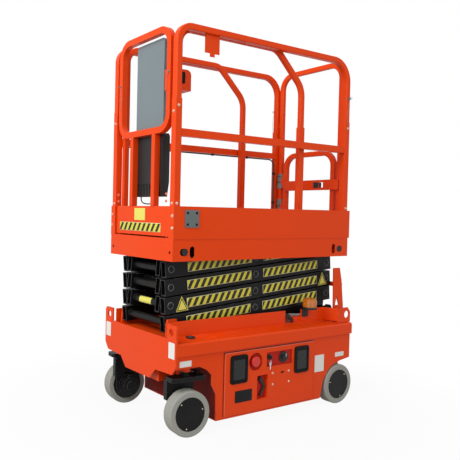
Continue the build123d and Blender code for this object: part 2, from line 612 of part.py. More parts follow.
# ---------------------------------------------------------------- platform
deck_top = BODY_Z[1]
under_deck = deck_top - DECK_T
with BuildPart() as platform_frame:
    block((-690, HALF_LENGTH), (-BODY_Y, BODY_Y), (under_deck, deck_top))
    # tread plate to stand on, behind the roll-out deck
    block(TREAD_X, (-TREAD_Y, TREAD_Y), (deck_top - 1, deck_top + TREAD_T))
    for side in (1, -1):
        block((-690, HALF_LENGTH), pair(BODY_Y - TOE_T, BODY_Y, side), BODY_Z)
        block((-690, HALF_LENGTH), pair(BODY_Y - 26, BODY_Y, side), (BODY_Z[0], BODY_Z[0] + TOE_T))
        # toe board with its folded ends and top
        block((-HALF_LENGTH, HALF_LENGTH), pair(PLAT_Y - TOE_T, PLAT_Y, side), (deck_top - 4, TOE_TOP))
        fold_y = pair(PLAT_Y - FOLD, PLAT_Y, side)
        block((HALF_LENGTH - TOE_T, HALF_LENGTH), fold_y, (deck_top - 4, TOE_TOP))
        block((-HALF_LENGTH, -HALF_LENGTH + TOE_T), fold_y, (deck_top - 4, TOE_TOP))
        block((-HALF_LENGTH, -690), fold_y, (deck_top - 4, deck_top))
        block((-630, 650), pair(PLAT_Y - 17, PLAT_Y, side), (TOE_TOP - TOE_T, TOE_TOP))
        # bracket of the fixed front pin
        plate_xz([(front_pin - 34, under_deck + 1), (front_pin + 34, under_deck + 1),
                  (front_pin + 26, pin_z[-1] - 30), (front_pin - 26, pin_z[-1] - 30)], pair(232, 246, side))
        # track for the rear rollers of the top outer arms
        block((rear_pin - 34, rear_pin + 330), pair(ROLLER_Y[0] - 2, ROLLER_Y[1] + 12, side),
              (pin_z[-1] + ROLLER_R + SEAT, under_deck + 1))
        block((rear_pin - 34, rear_pin + 330), pair(ROLLER_Y[1] + 6, ROLLER_Y[1] + 12, side),
              (pin_z[-1] - ROLLER_R - 12, under_deck + 1))
        block((rear_pin - 34, rear_pin + 330), pair(ROLLER_Y[0] - 2, ROLLER_Y[1] + 12, side),
              (pin_z[-1] - ROLLER_R - 12, pin_z[-1] - ROLLER_R - SEAT))
        bar_y(front_pin, pin_z[-1], pair(225, 260, side), PIN_R + FIT, mode=Mode.SUBTRACT)
        bar_y(front_pin, pin_z[-1], pair(BODY_Y - 20, BODY_Y + 10, side), 20, mode=Mode.SUBTRACT)
        bar_y(rear_pin, pin_z[-1], pair(BODY_Y - 20, BODY_Y + 10, side), 20, mode=Mode.SUBTRACT)
        for x in SLOT_X:
            slot_z = (SLOT_Z[0] + SLOT_R, SLOT_Z[1] - SLOT_R)
            for z in slot_z:
                bar_y(x, z, pair(BODY_Y - 20, BODY_Y + 10, side), SLOT_R, mode=Mode.SUBTRACT)
            block((x - SLOT_R, x + SLOT_R), pair(BODY_Y - 20, BODY_Y + 10, side), slot_z, mode=Mode.SUBTRACT)
    block((HALF_LENGTH - TOE_T, HALF_LENGTH), (-BODY_Y, BODY_Y), BODY_Z)
    block((-690, -690 + TOE_T), (-BODY_Y, BODY_Y), BODY_Z)
    for side in (1, -1):
        bar_x(side * 302, 988, (HALF_LENGTH - 20, HALF_LENGTH + 10), 9, mode=Mode.SUBTRACT)
keep(platform_frame, "platform_frame")

rail_mid_y = PLAT_Y - TOE_T - MAIN_TUBE_W / 2
post_front = HALF_LENGTH - TOE_T - TUBE / 2
post_rear = -HALF_LENGTH + 20 + TUBE / 2
rail_z = RAIL_TOP - TUBE / 2
leg_x = -HALF_LENGTH + 10 + REAR_LEG_D / 2
leg_face = leg_x + REAR_LEG_D / 2
for side, name in ((1, "main_rail_left"), (-1, "main_rail_right")):
    y = side * rail_mid_y
    with BuildPart() as main_rail:
        tube_along([(post_front, y, deck_top), (post_front, y, rail_z), (post_rear, y, rail_z),
                    (post_rear, y, deck_top)], [MAIN_FRONT_BEND, MAIN_REAR_BEND], MAIN_TUBE_W)
        block((post_rear, post_front), (y - 15, y + 15), MID_RAIL_Z)
        # lower posts, which the folding rail stands in
        sleeve_y = (y - MAIN_TUBE_W / 2, y + MAIN_TUBE_W / 2)
        sleeve_z = (deck_top, SLEEVE_TOP)
        block((post_front - TUBE / 2 - SLEEVE, post_front + TUBE / 2), sleeve_y, sleeve_z)
        block((post_rear - TUBE / 2, post_rear + TUBE / 2 + SLEEVE), sleeve_y, sleeve_z)
    keep(main_rail, name)

with BuildPart() as rear_frame:
    top = RAIL_TOP + 5 - REAR_LEG_D / 2
    tube_along([(leg_x, -REAR_LEG_Y, deck_top), (leg_x, -REAR_LEG_Y, top), (leg_x, REAR_LEG_Y, top),
                (leg_x, REAR_LEG_Y, deck_top)], [REAR_FRAME_BEND, REAR_FRAME_BEND],
               REAR_LEG_D, depth=REAR_LEG_W, across=(1, 0, 0))
    for side in (1, -1):
        strap_y = pair(REAR_LEG_Y + REAR_LEG_W / 2 - 1, rail_mid_y - MAIN_TUBE_W / 2, side)
        for z in (1300, 1700, 1850):
            block((leg_x - 10, leg_x + 10), strap_y, (z - 15, z + 15))
keep(rear_frame, "rear_frame")

with BuildPart() as control_bracket:
    block((398, 498), (rail_mid_y - 2, rail_mid_y + 2), (2071, RAIL_TOP - TUBE))
    block((431, 463), (rail_mid_y - 2, rail_mid_y + 2), (2053, 2072))
keep(control_bracket, "control_bracket")

with BuildPart() as side_plates:
    for side in (1, -1):
        block((535, 627), pair(PLAT_Y, PLAT_Y + 5, side), (1122, 1216))
keep(side_plates, "side_plates")

# lead clipped under the mid rail on the right, which goes down beside the rear post into the deck
CABLE_R = 4.5
GLAND_R = 10.0
CLIP = 7.0                     # half width of a clip, which holds the lead this far under the rail
lead_y = -(rail_mid_y - 8)
lead_z = MID_RAIL_Z[0] - CLIP
lead_x = post_rear + TUBE / 2 + SLEEVE + GLAND_R + SEAT
lead_start = post_front - TUBE / 2 - SLEEVE - SEAT
gland_top = deck_top + 14
with BuildPart() as rail_cable:
    with BuildLine() as lead:
        FilletPolyline((lead_start, lead_y, lead_z), (lead_x, lead_y, lead_z), (lead_x, lead_y, gland_top),
                       radius=48)
    with BuildSketch(Plane(origin=lead.line @ 0, z_dir=lead.line % 0)) as section:
        Circle(CABLE_R)
    sweep(section.sketch, path=lead.line)
keep(rail_cable, "rail_cable")

# gland of that lead in the deck, and the clips that hold it to the rail and the post
clip_bore = CABLE_R + SEAT
with BuildPart() as cable_fittings:
    bar_z(lead_x, lead_y, (deck_top, gland_top), GLAND_R - 2)
    bar_z(lead_x, lead_y, (deck_top, deck_top + 6), GLAND_R)
    for x in (560, 250, -60, -370):
        block((x - CLIP, x + CLIP), (lead_y - CLIP, lead_y + CLIP), (lead_z - CLIP, MID_RAIL_Z[0]))
        bar_x(lead_y, lead_z, (x - CLIP - 1, x + CLIP + 1), clip_bore, mode=Mode.SUBTRACT)
    for z in (1500, 1290):
        block((lead_x - GLAND_R - SEAT, lead_x + CLIP), (lead_y - CLIP, lead_y + CLIP), (z - CLIP, z + CLIP))
        bar_z(lead_x, lead_y, (z - CLIP - 1, z + CLIP + 1), clip_bore, mode=Mode.SUBTRACT)
keep(cable_fittings, "cable_fittings")

# ---------------------------------------------------------------- roll-out deck
ext_tube_y = rail_mid_y - MAIN_TUBE_W / 2 - MOVE + 0.5 - EXT_TUBE_W / 2
ext_front = HALF_LENGTH - TOE_T
board_y = (-121, 158)
panel_face = ext_front - 5
panel_y = ext_tube_y + EXT_TUBE_W / 2
with BuildPart() as extension_deck:
    block((EXT_REAR, panel_face), (4 - panel_y, panel_y - 4), (EXT_DECK_Z, EXT_DECK_Z + DECK_T))
    for side in (1, -1):
        flange = ext_tube_y - EXT_TUBE_W / 2
        block((EXT_REAR, panel_face), pair(flange - SHEET, flange, side), (deck_top + SEAT, TOE_TOP - 40))
    block((panel_face - TOE_T, panel_face), (-panel_y, panel_y), (EXT_DECK_Z, TOE_TOP))
    block((ext_front - TUBE, panel_face), (-panel_y, panel_y), (TOE_TOP - TOE_T, TOE_TOP))
keep(extension_deck, "extension_deck")

ext_post_front = ext_front - 3 * TUBE / 2     # its post stands behind the ring
ext_rail_z = EXT_RAIL_TOP - TUBE / 2
ext_post_rear = EXT_REAR + TUBE / 2
for side, name in ((1, "extension_rail_left"), (-1, "extension_rail_right")):
    y = side * ext_tube_y
    with BuildPart() as ext_rail:
        foot = EXT_DECK_Z + DECK_T
        tube_along([(ext_post_front, y, foot), (ext_post_front, y, ext_rail_z), (EXT_FORK_X, y, ext_rail_z),
                    (ext_post_rear, y, EXT_POST_TOP), (ext_post_rear, y, foot)],
                   [MAIN_FRONT_BEND, *EXT_BENDS], EXT_TUBE_W)
        half = EXT_TUBE_W / 2
        block((ext_post_rear - TUBE / 2 - SLEEVE, ext_post_rear + TUBE / 2 + SLEEVE), (y - half, y + half),
              (foot, EXT_SLEEVE_TOP))
    keep(ext_rail, name)

with BuildPart() as end_frame:
    with BuildSketch(Plane.YZ.offset(ext_front - TUBE)):
        with Locations((0, (RING_Z[0] + RING_Z[1]) / 2)):
            RectangleRounded(2 * RING_OUT, RING_Z[1] - RING_Z[0], RING_BEND + TUBE / 2)
            RectangleRounded(2 * RING_OUT - 2 * TUBE, RING_Z[1] - RING_Z[0] - 2 * TUBE, RING_BEND - TUBE / 2,
                             mode=Mode.SUBTRACT)
    extrude(amount=TUBE)
    for side in (1, -1):
        block((ext_front - TUBE, ext_front), pair(POST_PAIR_Y - 16, POST_PAIR_Y + 16, side),
              (TOE_TOP, RING_Z[0] + 10))
keep(end_frame, "extension_end_frame")

ring_back = ext_front - TUBE
board_w = board_y[1] - board_y[0]
board_h = BOARD_Z[1] - BOARD_Z[0]
BOARD_RIM = 8.0
with BuildPart() as front_board:
    with BuildSketch(Plane.YZ.offset(ring_back - BOARD_T)):
        with Locations((sum(board_y) / 2, sum(BOARD_Z) / 2)):
            RectangleRounded(board_w, board_h, 2 * BOARD_RIM)
    extrude(amount=BOARD_T)
    # rolled rim round the back of the board
    with BuildSketch(Plane.YZ.offset(ring_back - BOARD_T - 5)) as rim_outline:
        with Locations((sum(board_y) / 2, sum(BOARD_Z) / 2)):
            RectangleRounded(board_w, board_h, 2 * BOARD_RIM)
            RectangleRounded(board_w - 2 * BOARD_RIM, board_h - 2 * BOARD_RIM, BOARD_RIM, mode=Mode.SUBTRACT)
    extrude(rim_outline.sketch, amount=6)
keep(front_board, "front_board")

# box for papers and tools behind the ring posts, with a ribbed foot that narrows downwards
with BuildPart() as storage_box:
    box_back = ring_back - BOX_DEPTH
    foot, shoulder, top = BOX_Z
    plate_xz([(ring_back, top), (ring_back, shoulder), (ring_back - 6, foot), (box_back + 12, foot),
              (box_back, shoulder), (box_back, top - 14), (box_back + 8, top)], board_y)
    rib_pitch = board_w / BOX_RIBS
    for rib in range(BOX_RIBS - 1):
        y = board_y[0] + rib_pitch * (rib + 1)
        block((ring_back - 8, ring_back + 1), (y - 6, y + 6), (foot - 1, shoulder - 8), mode=Mode.SUBTRACT)
keep(storage_box, "storage_box")

# short lead that loops under the box from one gland to the other
loop_x = (ring_back + box_back) / 2
loop = [(-92, foot - SEAT), (-92, 1272), (-80, 1257), (-50, 1249), (-10, 1247), (24, 1251), (46, 1260),
        (54, 1274), (54, foot - SEAT)]
loop_path = [(loop_x, y, z) for y, z in loop]
with BuildPart() as box_cable:
    with BuildLine() as route:
        FilletPolyline(*loop_path, radius=lead_radii(loop_path))
    with BuildSketch(Plane(origin=route.line @ 0, z_dir=route.line % 0)) as section:
        Circle(CABLE_R - 1)
    sweep(section.sketch, path=route.line)
keep(box_cable, "box_cable")

# open guard of bent sheet round the control box
guard_front = ring_back - SEAT
GUARD_T = 4.0
with BuildPart() as control_guard:
    with BuildSketch(Plane.XZ.offset(-GUARD_Y[1])) as side_sheet:
        with BuildLine():
            FilletPolyline((GUARD_X, GUARD_Z[0]), (GUARD_X, GUARD_Z[1]), (guard_front, GUARD_Z[1]),
                           (guard_front, GUARD_Z[0]), radius=(28, 1))
            Line((guard_front, GUARD_Z[0]), (GUARD_X, GUARD_Z[0]))
        make_face()
    extrude(side_sheet.sketch, amount=GUARD_T)
    block((GUARD_X, guard_front), GUARD_Y, (GUARD_Z[0], GUARD_Z[0] + GUARD_T))
    block((guard_front - GUARD_T, guard_front), GUARD_Y, GUARD_Z)
keep(control_guard, "control_guard")

with BuildPart() as control_box:
    box_x = (GUARD_X + 14, guard_front - GUARD_T - 16)
    box_y = (GUARD_Y[0] + 2, GUARD_Y[1] - GUARD_T - SEAT)
    block(box_x, box_y, (GUARD_Z[0] + GUARD_T, GUARD_Z[1] - 20))
    bar_z(sum(box_x) / 2 + 14, sum(box_y) / 2, (GUARD_Z[1] - 21, GUARD_Z[1] + 22), 9)
    with Locations((sum(box_x) / 2 + 14, sum(box_y) / 2, GUARD_Z[1] + 26)):
        Sphere(14)
    bar_z(box_x[0] + 16, sum(box_y) / 2, (GUARD_Z[1] - 21, GUARD_Z[1] - 10), 12)
keep(control_box, "control_box")

# ---------------------------------------------------------------- rear gate
gate_x = leg_x                 # the closed gate stands in the plane of the rear legs
gate_face = gate_x + GATE_TUBE / 2
with BuildPart() as gate:
    half = GATE_Y - GATE_TUBE / 2
    tube_along([(gate_x, -half, GATE_Z[0]), (gate_x, -half, GATE_Z[1] - GATE_TUBE / 2),
                (gate_x, half, GATE_Z[1] - GATE_TUBE / 2), (gate_x, half, GATE_Z[0])],
               [GATE_BEND, GATE_BEND], GATE_TUBE, depth=GATE_TUBE, across=(1, 0, 0))
    block((gate_x - 3, gate_x + 3), (-half, half), (GATE_Z[0], TOE_TOP))
    # cross channel in front of the tubes, which laps over the left leg
    web = gate_face + 18
    block((web - CHANNEL_T, web), CHANNEL_Y, CHANNEL_Z)
    for z in (CHANNEL_Z[0], CHANNEL_Z[1] - CHANNEL_T):
        block((leg_face + MOVE, web), CHANNEL_Y, (z, z + CHANNEL_T))
        block((gate_x, web), (CHANNEL_Y[0], half), (z, z + CHANNEL_T))
    block((web - CHANNEL_T - 1, web + 1), LATCH_SLOT_Y, LATCH_Z, mode=Mode.SUBTRACT)
    for z in HINGE_HEIGHTS:
        knuckle_z = (z - HINGE_KNUCKLE, z + HINGE_KNUCKLE)
        bar_z(*HINGE_AXIS, knuckle_z, HINGE_PIN_R)
        block((HINGE_AXIS[0] - 3, HINGE_AXIS[0] + 3), (HINGE_AXIS[1], -GATE_Y + 4), knuckle_z)
        leaf_z = (z - HINGE_HALF, z + HINGE_HALF)
        block((gate_face - 1, HINGE_AXIS[0] + 3), (-GATE_Y + 2, CHANNEL_Y[0]), leaf_z)
keep(gate, "rear_gate")

with BuildPart() as gate_latch:
    block((web - CHANNEL_T - 26, web - CHANNEL_T), LATCH_Y, LATCH_Z)
    block((web, web + 6), LATCH_Y, LATCH_Z)
keep(gate_latch, "gate_latch")

with BuildPart() as gate_hinges:
    for z in HINGE_HEIGHTS:
        block((leg_face, leg_face + 4), (-REAR_LEG_Y - REAR_LEG_W / 2, -REAR_LEG_Y + REAR_LEG_W / 2),
              (z - HINGE_HALF, z + HINGE_HALF))
        for ends in ((z - HINGE_HALF, z - HINGE_KNUCKLE - SEAT), (z + HINGE_KNUCKLE + SEAT, z + HINGE_HALF)):
            bar_z(*HINGE_AXIS, ends, HINGE_PIN_R)
            block((leg_face + 1, HINGE_AXIS[0]), (-REAR_LEG_Y + REAR_LEG_W / 2 - 2, HINGE_AXIS[1]), ends)
keep(gate_hinges, "gate_hinges")

print(len(PIECES), "pieces")
print("tilt", degrees(tilt), "arm", arm_length, "cylinder closed", cyl_closed, "angle", degrees(cyl_angle))
print("foot", foot_x, foot_z, "head", head_x, head_z, "tie rod pin", rod_pin_dx, rod_pin_dy)
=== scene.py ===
"""Looks of the electric scissor lift: its stage, its finishes, and the trim on its pieces."""
import json
from math import atan2, cos, pi, radians, sin

import bmesh
import bpy
from mathutils import Matrix, Vector


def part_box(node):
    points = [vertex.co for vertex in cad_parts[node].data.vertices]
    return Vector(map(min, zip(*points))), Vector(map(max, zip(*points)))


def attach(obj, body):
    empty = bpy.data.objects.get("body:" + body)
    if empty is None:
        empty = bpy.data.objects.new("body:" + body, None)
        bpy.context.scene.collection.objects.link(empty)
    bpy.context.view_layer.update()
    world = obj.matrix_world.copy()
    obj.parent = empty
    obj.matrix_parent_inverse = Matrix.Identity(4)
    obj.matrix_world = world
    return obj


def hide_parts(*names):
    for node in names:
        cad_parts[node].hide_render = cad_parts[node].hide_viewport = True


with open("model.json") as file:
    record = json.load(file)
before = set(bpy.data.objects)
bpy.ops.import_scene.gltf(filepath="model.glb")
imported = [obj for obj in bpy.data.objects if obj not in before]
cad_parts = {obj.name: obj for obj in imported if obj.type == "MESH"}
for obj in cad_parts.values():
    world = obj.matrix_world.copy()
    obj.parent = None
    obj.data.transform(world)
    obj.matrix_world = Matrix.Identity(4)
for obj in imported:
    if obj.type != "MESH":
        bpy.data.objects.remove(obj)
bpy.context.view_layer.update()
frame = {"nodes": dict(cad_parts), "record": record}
nodes = frame["nodes"]

# ---------------- colours, linear
ORANGE = (0.76, 0.054, 0.0012, 1)
# painted highlight for the edges of the orange paint, broken into patches
ORANGE_EDGE_HIGHLIGHT = (0.92, 0.24, 0.12, 1)
BLACK_PAINT = (0.0045, 0.0042, 0.0044, 1)
# grey that the edge mask lays on the edges of black parts
BLACK_EDGE_GREY = (0.30, 0.30, 0.305, 1)
DUST = (0.42, 0.36, 0.29, 1)
WARNING_YELLOW = (0.66, 0.60, 0.045, 1)
LABEL_WHITE = (0.74, 0.74, 0.70, 1)
TYRE_GREY = (0.29, 0.295, 0.265, 1)
TAPE_BLACK = (0.012, 0.011, 0.010, 1)
WHITE = (1, 1, 1, 1)

# ---------------- camera
CAMERA_PLACE = (2.5109, 2.8959, 1.2014)
CAMERA_HEADING = 147.149       # degrees about Z, then the tilt about X, then the roll
CAMERA_TILT = 88.317
CAMERA_ROLL = 1.144
CAMERA_LENS = 46.834
CAMERA_SHIFT = (0.17751, -0.00104)

# ---------------- places on the machine, metres
SIDE_FACE = 0.365              # outer face of the side panels, from the middle plane
RIM_FACE = 0.270               # outer face of the wall round the well
SHELF_TOP = 0.512              # outer edge of the shelf between that wall and the side panel
ARCH_WALL = 0.411              # front of the wall behind the front wheels
ARCH_ROOF = 0.370              # underside of the chassis over the front wheels
ARCH_END = 0.678               # where that underside stops, behind the front panel
HOUSING_X = (0.550, 0.620)     # rear and front of the steering housings, which come through the roof
FRONT_PIN_X = 0.632            # front pins of the folded arms
ARM_FACE = 0.225               # outer face of the outer arms from the middle plane
ARM_RUN = 1.249                # between the end pins of an arm, along X
ARM_END = 0.6265               # from an arm's middle pin to its end pins
WHEEL_FACE = 0.034             # cover disc of a wheel from its middle plane
SIDEWALL = 0.038               # side of a tyre from its middle plane
WHEEL_LEAN = -4.8              # degrees that the front wheels are steered at rest
LABEL = 0.0008                 # thickness of a label
BITE = 0.0004                  # how far trim reaches into the sheet that carries it


def place_camera():
    """The camera, off to the front left at the height of a person's chest."""
    data = bpy.data.cameras.new("camera")
    data.lens = CAMERA_LENS
    data.sensor_width = 36
    data.shift_x, data.shift_y = CAMERA_SHIFT
    data.clip_start = 0.05
    camera = bpy.data.objects.new("camera", data)
    turn = (Matrix.Rotation(radians(CAMERA_HEADING), 4, "Z")
            @ Matrix.Rotation(radians(CAMERA_TILT), 4, "X")
            @ Matrix.Rotation(radians(CAMERA_ROLL), 4, "Z"))
    camera.matrix_world = Matrix.Translation(CAMERA_PLACE) @ turn
    bpy.context.scene.collection.objects.link(camera)
    bpy.context.scene.camera = camera


# ---------------- node helpers
def add_node(tree, kind, place=(0, 0), **settings):
    """A new shader node; `sockets` takes (socket, value) pairs, and other settings are its attributes."""
    node = tree.nodes.new("ShaderNode" + kind)
    node.location = place
    for socket, value in settings.pop("sockets", ()):
        node.inputs[socket].default_value = value
    for name, value in settings.items():
        setattr(node, name, value)
    return node


def join(tree, source, output, target, socket):
    """A link between two named sockets."""
    tree.links.new(source.outputs[output], target.inputs[socket])


def new_group(name, inputs, outputs):
    """An empty shader group with its sockets, and its two end nodes."""
    tree = bpy.data.node_groups.new(name, "ShaderNodeTree")
    for label, kind, value in inputs:
        socket = tree.interface.new_socket(label, in_out="INPUT", socket_type=kind)
        if value is not None:
            socket.default_value = value
    for label, kind in outputs:
        tree.interface.new_socket(label, in_out="OUTPUT", socket_type=kind)
    start = tree.nodes.new("NodeGroupInput")
    start.location = (-900, 0)
    end = tree.nodes.new("NodeGroupOutput")
    end.location = (900, 0)
    return tree, start, end


FLOAT, COLOUR, VECTOR = "NodeSocketFloat", "NodeSocketColor", "NodeSocketVector"


def edge_wear_and_highlight_group():
    """White at the corners of a part, broken up by a coarse grain: rubbed wear, and on the orange paint a
    painted highlight along the edges.
    """
    tree, start, end = new_group(
        "edge_wear_and_highlight", [("Width", FLOAT, 0.002), ("Amount", FLOAT, 0.5), ("Patch Scale", FLOAT, 30.0)],
        [("Mask", FLOAT), ("Normal", VECTOR)])
    place = add_node(tree, "TexCoord", (-900, -300))
    rounded = add_node(tree, "Bevel", (-700, 100), samples=4)
    flat = add_node(tree, "NewGeometry", (-700, -100))
    alike = add_node(tree, "VectorMath", (-500, 0), operation="DOT_PRODUCT")
    bent = add_node(tree, "MapRange", (-300, 0), sockets=(("From Min", 0.99), ("From Max", 0.80)))
    patches = add_node(tree, "TexNoise", (-500, -300), sockets=(("Detail", 5.0), ("Roughness", 0.65)))
    broken = add_node(tree, "MapRange", (-300, -300), sockets=(("From Min", 0.35), ("From Max", 0.7)))
    both = add_node(tree, "Math", (-100, 0), operation="MULTIPLY")
    scaled = add_node(tree, "Math", (100, 0), operation="MULTIPLY", use_clamp=True)
    join(tree, start, "Width", rounded, "Radius")
    join(tree, rounded, "Normal", alike, 0)
    join(tree, flat, "Normal", alike, 1)
    join(tree, alike, "Value", bent, "Value")
    join(tree, place, "Object", patches, "Vector")
    join(tree, start, "Patch Scale", patches, "Scale")
    join(tree, patches, "Fac", broken, "Value")
    join(tree, bent, "Result", both, 0)
    join(tree, broken, "Result", both, 1)
    join(tree, both, "Value", scaled, 0)
    join(tree, start, "Amount", scaled, 1)
    join(tree, scaled, "Value", end, "Mask")
    join(tree, rounded, "Normal", end, "Normal")
    return tree


def grain_group():
    """Height of a fine surface grain laid over a slower ripple, on real sizes."""
    tree, start, end = new_group(
        "surface_grain",
        [("Fine Scale", FLOAT, 900.0), ("Ripple Scale", FLOAT, 120.0), ("Ripple", FLOAT, 0.4)],
        [("Height", FLOAT)])
    place = add_node(tree, "TexCoord", (-700, 0))
    fine = add_node(tree, "TexNoise", (-400, 150), sockets=(("Detail", 3.0), ("Roughness", 0.6)))
    ripple = add_node(tree, "TexNoise", (-400, -150), sockets=(("Detail", 1.0),))
    blend = add_node(tree, "Mix", (0, 0), data_type="FLOAT")
    join(tree, place, "Object", fine, "Vector")
    join(tree, place, "Object", ripple, "Vector")
    join(tree, start, "Fine Scale", fine, "Scale")
    join(tree, start, "Ripple Scale", ripple, "Scale")
    join(tree, start, "Ripple", blend, "Factor")
    join(tree, fine, "Fac", blend, "A")
    join(tree, ripple, "Fac", blend, "B")
    join(tree, blend, "Result", end, "Height")
    return tree


def dust_group():
    """White where dust settles: on faces turned up, thicker near the floor, in cloudy patches."""
    tree, start, end = new_group(
        "settled_dust", [("Amount", FLOAT, 0.3), ("Cloud Scale", FLOAT, 9.0), ("Low Edge", FLOAT, 0.45)],
        [("Mask", FLOAT)])
    place = add_node(tree, "TexCoord", (-900, 0))
    clouds = add_node(tree, "TexNoise", (-650, 0), sockets=(("Detail", 6.0), ("Roughness", 0.62)))
    soft = add_node(tree, "MapRange", (-400, 0), sockets=(("From Min", 0.42), ("From Max", 0.75)))
    surface = add_node(tree, "NewGeometry", (-900, -300))
    split_normal = add_node(tree, "SeparateXYZ", (-700, -300))
    upward = add_node(tree, "MapRange", (-450, -300), sockets=(("From Min", 0.2), ("From Max", 1.0)))
    split_place = add_node(tree, "SeparateXYZ", (-700, -550))
    low = add_node(tree, "MapRange", (-450, -550), sockets=(("From Max", 0.0), ("To Max", 0.8)))
    where = add_node(tree, "Math", (-200, -400), operation="ADD", use_clamp=True)
    cloudy = add_node(tree, "Math", (0, -100), operation="MULTIPLY")
    scaled = add_node(tree, "Math", (200, 0), operation="MULTIPLY", use_clamp=True)
    join(tree, place, "Object", clouds, "Vector")
    join(tree, start, "Cloud Scale", clouds, "Scale")
    join(tree, clouds, "Fac", soft, "Value")
    join(tree, surface, "Normal", split_normal, "Vector")
    join(tree, split_normal, "Z", upward, "Value")
    join(tree, place, "Object", split_place, "Vector")
    join(tree, split_place, "Z", low, "Value")
    join(tree, start, "Low Edge", low, "From Min")
    join(tree, upward, "Result", where, 0)
    join(tree, low, "Result", where, 1)
    join(tree, where, "Value", cloudy, 0)
    join(tree, soft, "Result", cloudy, 1)
    join(tree, cloudy, "Value", scaled, 0)
    join(tree, start, "Amount", scaled, 1)
    join(tree, scaled, "Value", end, "Mask")
    return tree


def tone_group():
    """A colour that drifts a little lighter and darker over the sheet."""
    tree, start, end = new_group(
        "slow_tone", [("Color", COLOUR, None), ("Drift", FLOAT, 0.12), ("Scale", FLOAT, 3.0)],
        [("Color", COLOUR)])
    place = add_node(tree, "TexCoord", (-900, 0))
    clouds = add_node(tree, "TexNoise", (-650, 0), sockets=(("Detail", 4.0), ("Roughness", 0.55)))
    centred = add_node(tree, "Math", (-400, 0), operation="SUBTRACT", sockets=((1, 0.5),))
    sized = add_node(tree, "Math", (-200, 0), operation="MULTIPLY_ADD", sockets=((2, 1.0),))
    shade = add_node(tree, "HueSaturation", (100, 0))
    join(tree, place, "Object", clouds, "Vector")
    join(tree, start, "Scale", clouds, "Scale")
    join(tree, clouds, "Fac", centred, 0)
    join(tree, centred, "Value", sized, 0)
    join(tree, start, "Drift", sized, 1)
    join(tree, sized, "Value", shade, "Value")
    join(tree, start, "Color", shade, "Color")
    join(tree, shade, "Color", end, "Color")
    return tree


groups = {
    "wear_and_highlight": edge_wear_and_highlight_group(),
    "grain": grain_group(),
    "dust": dust_group(),
    "tone": tone_group(),
}


def new_material(name):
    """A material with its surface shader, and that shader's node."""
    material = bpy.data.materials.new(name)
    material.use_nodes = True
    return material, material.node_tree, material.node_tree.nodes["Principled BSDF"]


def use_group(tree, name, place, **values):
    """A shared group placed in a material with its own values."""
    node = add_node(tree, "Group", place, node_tree=groups[name])
    for socket, value in values.items():
        node.inputs[socket.replace("_", " ")].default_value = value
    return node


MIX_FIRST, MIX_SECOND, MIX_RESULT = 6, 7, 2    # colour sockets of a mix node


def mix_colours(tree, place, factor, first, second):
    """A colour mix; factor and first are (node, output) pairs and second is a colour or a pair."""
    mix = add_node(tree, "Mix", place, data_type="RGBA")
    tree.links.new(factor[0].outputs[factor[1]], mix.inputs["Factor"])
    for pair, socket in ((first, MIX_FIRST), (second, MIX_SECOND)):
        if isinstance(pair[0], (int, float)):
            mix.inputs[socket].default_value = pair
        else:
            tree.links.new(pair[0].outputs[pair[1]], mix.inputs[socket])
    return mix


ROUGH_DRIFT = 0.12             # how far smears change the roughness of a finish


def finish(name, colour, rough, wear_and_highlight_colour=None, wear_and_highlight=0.0, wear_and_highlight_width=0.0025, dust=0.0,
           grain=(900.0, 120.0, 0.4), bump=0.0002, metallic=0.0, coat=0.0, drift=0.12, specular=0.5):
    """A painted, moulded or plated finish; grain is the fine scale, the ripple scale and its share."""
    material, tree, shader = new_material(name)
    shader.inputs["Metallic"].default_value = metallic
    shader.inputs["Coat Weight"].default_value = coat
    shader.inputs["Coat Roughness"].default_value = 0.12
    shader.inputs["Specular IOR Level"].default_value = specular
    tone = use_group(tree, "tone", (-900, 300), Color=colour, Drift=drift)
    shown = (tone, "Color")
    # Corners take a lighter edge colour: rubbed wear on most finishes, and a painted highlight along the
    # edges of the orange paint.
    edges = use_group(tree, "wear_and_highlight", (-900, 0), Width=wear_and_highlight_width, Amount=wear_and_highlight)
    if wear_and_highlight:
        with_wear_and_highlight = mix_colours(tree, (-600, 300), (edges, "Mask"), shown, wear_and_highlight_colour)
        shown = (with_wear_and_highlight, MIX_RESULT)
    settled = use_group(tree, "dust", (-900, -250), Amount=dust)
    if dust:
        dusty = mix_colours(tree, (-350, 300), (settled, "Mask"), shown, DUST)
        shown = (dusty, MIX_RESULT)
    tree.links.new(shown[0].outputs[shown[1]], shader.inputs["Base Color"])
    place = add_node(tree, "TexCoord", (-1100, -500))
    smears = add_node(tree, "TexNoise", (-900, -500),
                      sockets=(("Scale", 14.0), ("Detail", 5.0), ("Roughness", 0.6)))
    gloss = add_node(tree, "MapRange", (-600, -500),
                     sockets=(("To Min", rough - ROUGH_DRIFT / 2), ("To Max", rough + ROUGH_DRIFT)))
    dulled = add_node(tree, "Math", (-350, -500), operation="ADD", use_clamp=True)
    join(tree, place, "Object", smears, "Vector")
    join(tree, smears, "Fac", gloss, "Value")
    join(tree, gloss, "Result", dulled, 0)
    join(tree, settled, "Mask", dulled, 1)
    join(tree, dulled, "Value", shader, "Roughness")
    texture = use_group(tree, "grain", (-900, -800),
                        Fine_Scale=grain[0], Ripple_Scale=grain[1], Ripple=grain[2])
    relief = add_node(tree, "Bump", (-350, -800), sockets=(("Strength", 1.0), ("Distance", bump)))
    join(tree, texture, "Height", relief, "Height")
    join(tree, edges, "Normal", relief, "Normal")
    join(tree, relief, "Normal", shader, "Normal")
    return material
